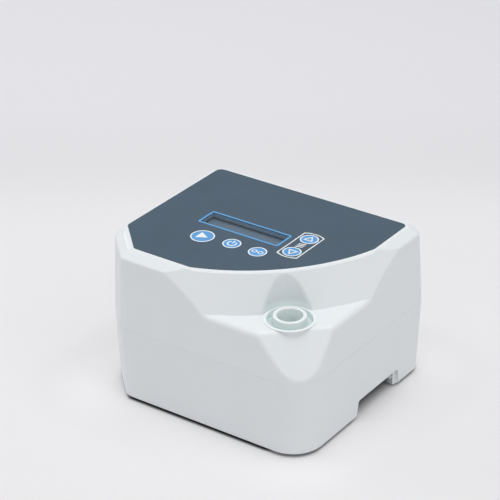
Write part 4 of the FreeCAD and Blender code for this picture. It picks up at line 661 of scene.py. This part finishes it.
def outside(shader, low, high, radius):
    """How far a place is outside a round-cornered rectangle in plan, negative inside."""
    moved = shader.node("VectorMath", operation="SUBTRACT")
    moved.inputs[1].default_value = (low + high)/2
    shader.join(shader.place(), moved.inputs[0])
    flat = shader.node("VectorMath", operation="ABSOLUTE")
    shader.join(moved.outputs["Vector"], flat.inputs[0])
    beyond = shader.node("VectorMath", operation="SUBTRACT")
    beyond.inputs[1].default_value = (high - low)/2 - Vector((radius, radius, 0))
    shader.join(flat.outputs["Vector"], beyond.inputs[0])
    clipped = shader.node("VectorMath", operation="MAXIMUM")
    clipped.inputs[1].default_value = (0, 0, 0)
    shader.join(beyond.outputs["Vector"], clipped.inputs[0])
    length = shader.node("VectorMath", operation="LENGTH")
    shader.join(clipped.outputs["Vector"], length.inputs[0])
    distance = shader.node("Math", operation="SUBTRACT")
    distance.inputs[1].default_value = radius
    shader.join(length.outputs["Value"], distance.inputs[0])
    return distance.outputs["Value"]


def behind_cut(shader):
    """How far a place is outside the foot's cut front left corner, negative inside."""
    diagonal = math.sqrt(0.5)
    reach = shader.node("VectorMath", operation="DOT_PRODUCT")
    reach.inputs[1].default_value = (-diagonal, -diagonal, 0)
    shader.join(shader.place(), reach.inputs[0])
    past = shader.node("Math", operation="SUBTRACT")
    past.inputs[1].default_value = (FOOT.x + FOOT.y - CUT_LEG)*diagonal
    shader.join(reach.outputs["Value"], past.inputs[0])
    return past.outputs["Value"]


def painted_shadow_under_case(shader):
    """Where the shadow is painted: 1 on the floor under the case, short of its right wall and of its cut
    corner.
    """
    round_foot = outside(shader, -FOOT, Vector((UNDER_RIGHT, FOOT.y, 0)), FOOT_RADIUS)
    return fade(shader, larger(shader, round_foot, behind_cut(shader)), UNDER_FULL, UNDER_END)


def lift_far_paper(shader):
    """Past the lamps' reach, let the paper show its own pale colour as a backdrop."""
    reach = shader.node("VectorMath", operation="LENGTH")
    shader.join(shader.place(), reach.inputs[0])
    far = fade(shader, reach.outputs["Value"], FAR_FULL, FAR_START)
    path = shader.node("LightPath")
    seen = larger(shader, path.outputs["Is Camera Ray"], path.outputs["Is Glossy Ray"])
    shown = larger(shader, seen, path.outputs["Is Transmission Ray"])
    glow = shader.node("Emission")
    glow.inputs["Color"].default_value = (*FAR_PAPER, 1)
    shader.mix_surface(both(shader, far, shown), shader.surface.outputs["BSDF"], glow.outputs["Emission"])


def colour_by_distance(shader):
    """The paper's base colour, by the distance behind the object."""
    away = shader.node("VectorMath", operation="DOT_PRODUCT")
    away.inputs[1].default_value = (-math.sin(CAMERA_AZIMUTH), math.cos(CAMERA_AZIMUTH), 0)
    shader.join(shader.place(), away.inputs[0])
    first, last = PAPER_WITH_PAINTED_SHADE[0][0], PAPER_WITH_PAINTED_SHADE[-1][0]
    spread = shader.node("MapRange")
    spread.inputs["From Min"].default_value = first
    spread.inputs["From Max"].default_value = last
    shader.join(away.outputs["Value"], spread.inputs["Value"])
    ramp = shader.node("ValToRGB")
    ramp.color_ramp.interpolation = "B_SPLINE"
    stops = ramp.color_ramp.elements
    while len(stops) < len(PAPER_WITH_PAINTED_SHADE):
        stops.new(0.5)
    for stop, (distance, colour) in zip(stops, PAPER_WITH_PAINTED_SHADE):
        stop.position = (distance - first)/(last - first)
        stop.color = (*colour, 1)
    shader.join(spread.outputs["Result"], ramp.inputs["Fac"])
    shader.join(ramp.outputs["Color"], shader.surface.inputs["Base Color"])


def paper_material():
    """Pale seamless paper: painted light round the case, painted shadow under it and under its air
    channel.
    """
    shader = Shader("studio_paper", PAPER_WITH_PAINTED_SHADE[0][1], PAPER_ROUGHNESS, Specular_IOR_Level=PAPER_GLOSS)
    colour_by_distance(shader)
    # Painted light: the paper paler round the case, offsetting its soft shadow
    paint(shader, fade(shader, outside(shader, -FOOT, FOOT, FOOT_RADIUS), 0, NEAR_REACH), PAPER_NEAR_PAINTED_LIGHT)
    # Painted shadow: dark under the case, where the gap under its edge shows
    paint(shader, painted_shadow_under_case(shader), PAPER_UNDER_SHADOW)
    # Painted shadow under the air channel, fading out towards the notch in the right wall
    channel = outside(shader, CHANNEL_LOW, CHANNEL_HIGH, CHANNEL_RADIUS)
    paint(shader, fade(shader, channel, 0, CHANNEL_BLUR), PAPER_UNDER_SHADOW)
    lift_far_paper(shader)
    return shader.material


def studio_floor():
    """A flat square of paper under and behind the object."""
    mesh = bpy.data.meshes.new("studio_floor")
    corners = [(x*FLOOR_HALF, y*FLOOR_HALF, 0) for x, y in ((-1, -1), (1, -1), (1, 1), (-1, 1))]
    mesh.from_pydata(corners, [], [(0, 1, 2, 3)])
    floor = bpy.data.objects.new("studio_floor", mesh)
    bpy.context.collection.objects.link(floor)
    mesh.materials.append(paper_material())


def area_light(name, place, width, power):
    """A square soft box that faces the object."""
    light = bpy.data.objects.new(name, bpy.data.lights.new(name, "AREA"))
    light.data.size = width
    light.data.energy = power
    light.location = place
    light.rotation_mode = "QUATERNION"
    light.rotation_quaternion = (Vector(place) - LIGHT_TARGET).to_track_quat("Z", "Y")
    bpy.context.collection.objects.link(light)


def light_studio():
    """Pale world, five soft boxes and plain tones."""
    world = bpy.data.worlds.new("studio")
    bpy.context.scene.world = world
    world.use_nodes = True
    background = world.node_tree.nodes["Background"]
    background.inputs["Color"].default_value = (*WORLD_COLOUR, 1)
    background.inputs["Strength"].default_value = WORLD_STRENGTH
    for name, place, width, power in LIGHTS:
        area_light(name, place, width, power)
    bpy.context.scene.view_settings.view_transform = "Standard"


# ---------------------------------------------------------------- scene

make_camera()
dress_nodes(make_materials())
WHITE_INK = ink("ink_white", INK_WHITE).material
print_panel(WHITE_INK, ink("ink_blue", INK_BLUE).material)
print_keys(WHITE_INK)
# The lip carries the rim's colour, which on the case's rim is a painted highlight
line_cup(moulded("cup_lining", CUP_FLOOR, 0.45).material,
         moulded("cup_lip", RIM_WHITE_AND_HIGHLIGHT, HOUSING_ROUGHNESS, HOUSING_SPREAD).material)
# The notch's far wall gets painted shade
fill_notch_end(moulded("notch_edge", HOUSING, HOUSING_ROUGHNESS, HOUSING_SPREAD).material,
               moulded("notch_wall", NOTCH_SHADE, 0.5).material)
studio_floor()
light_studio()
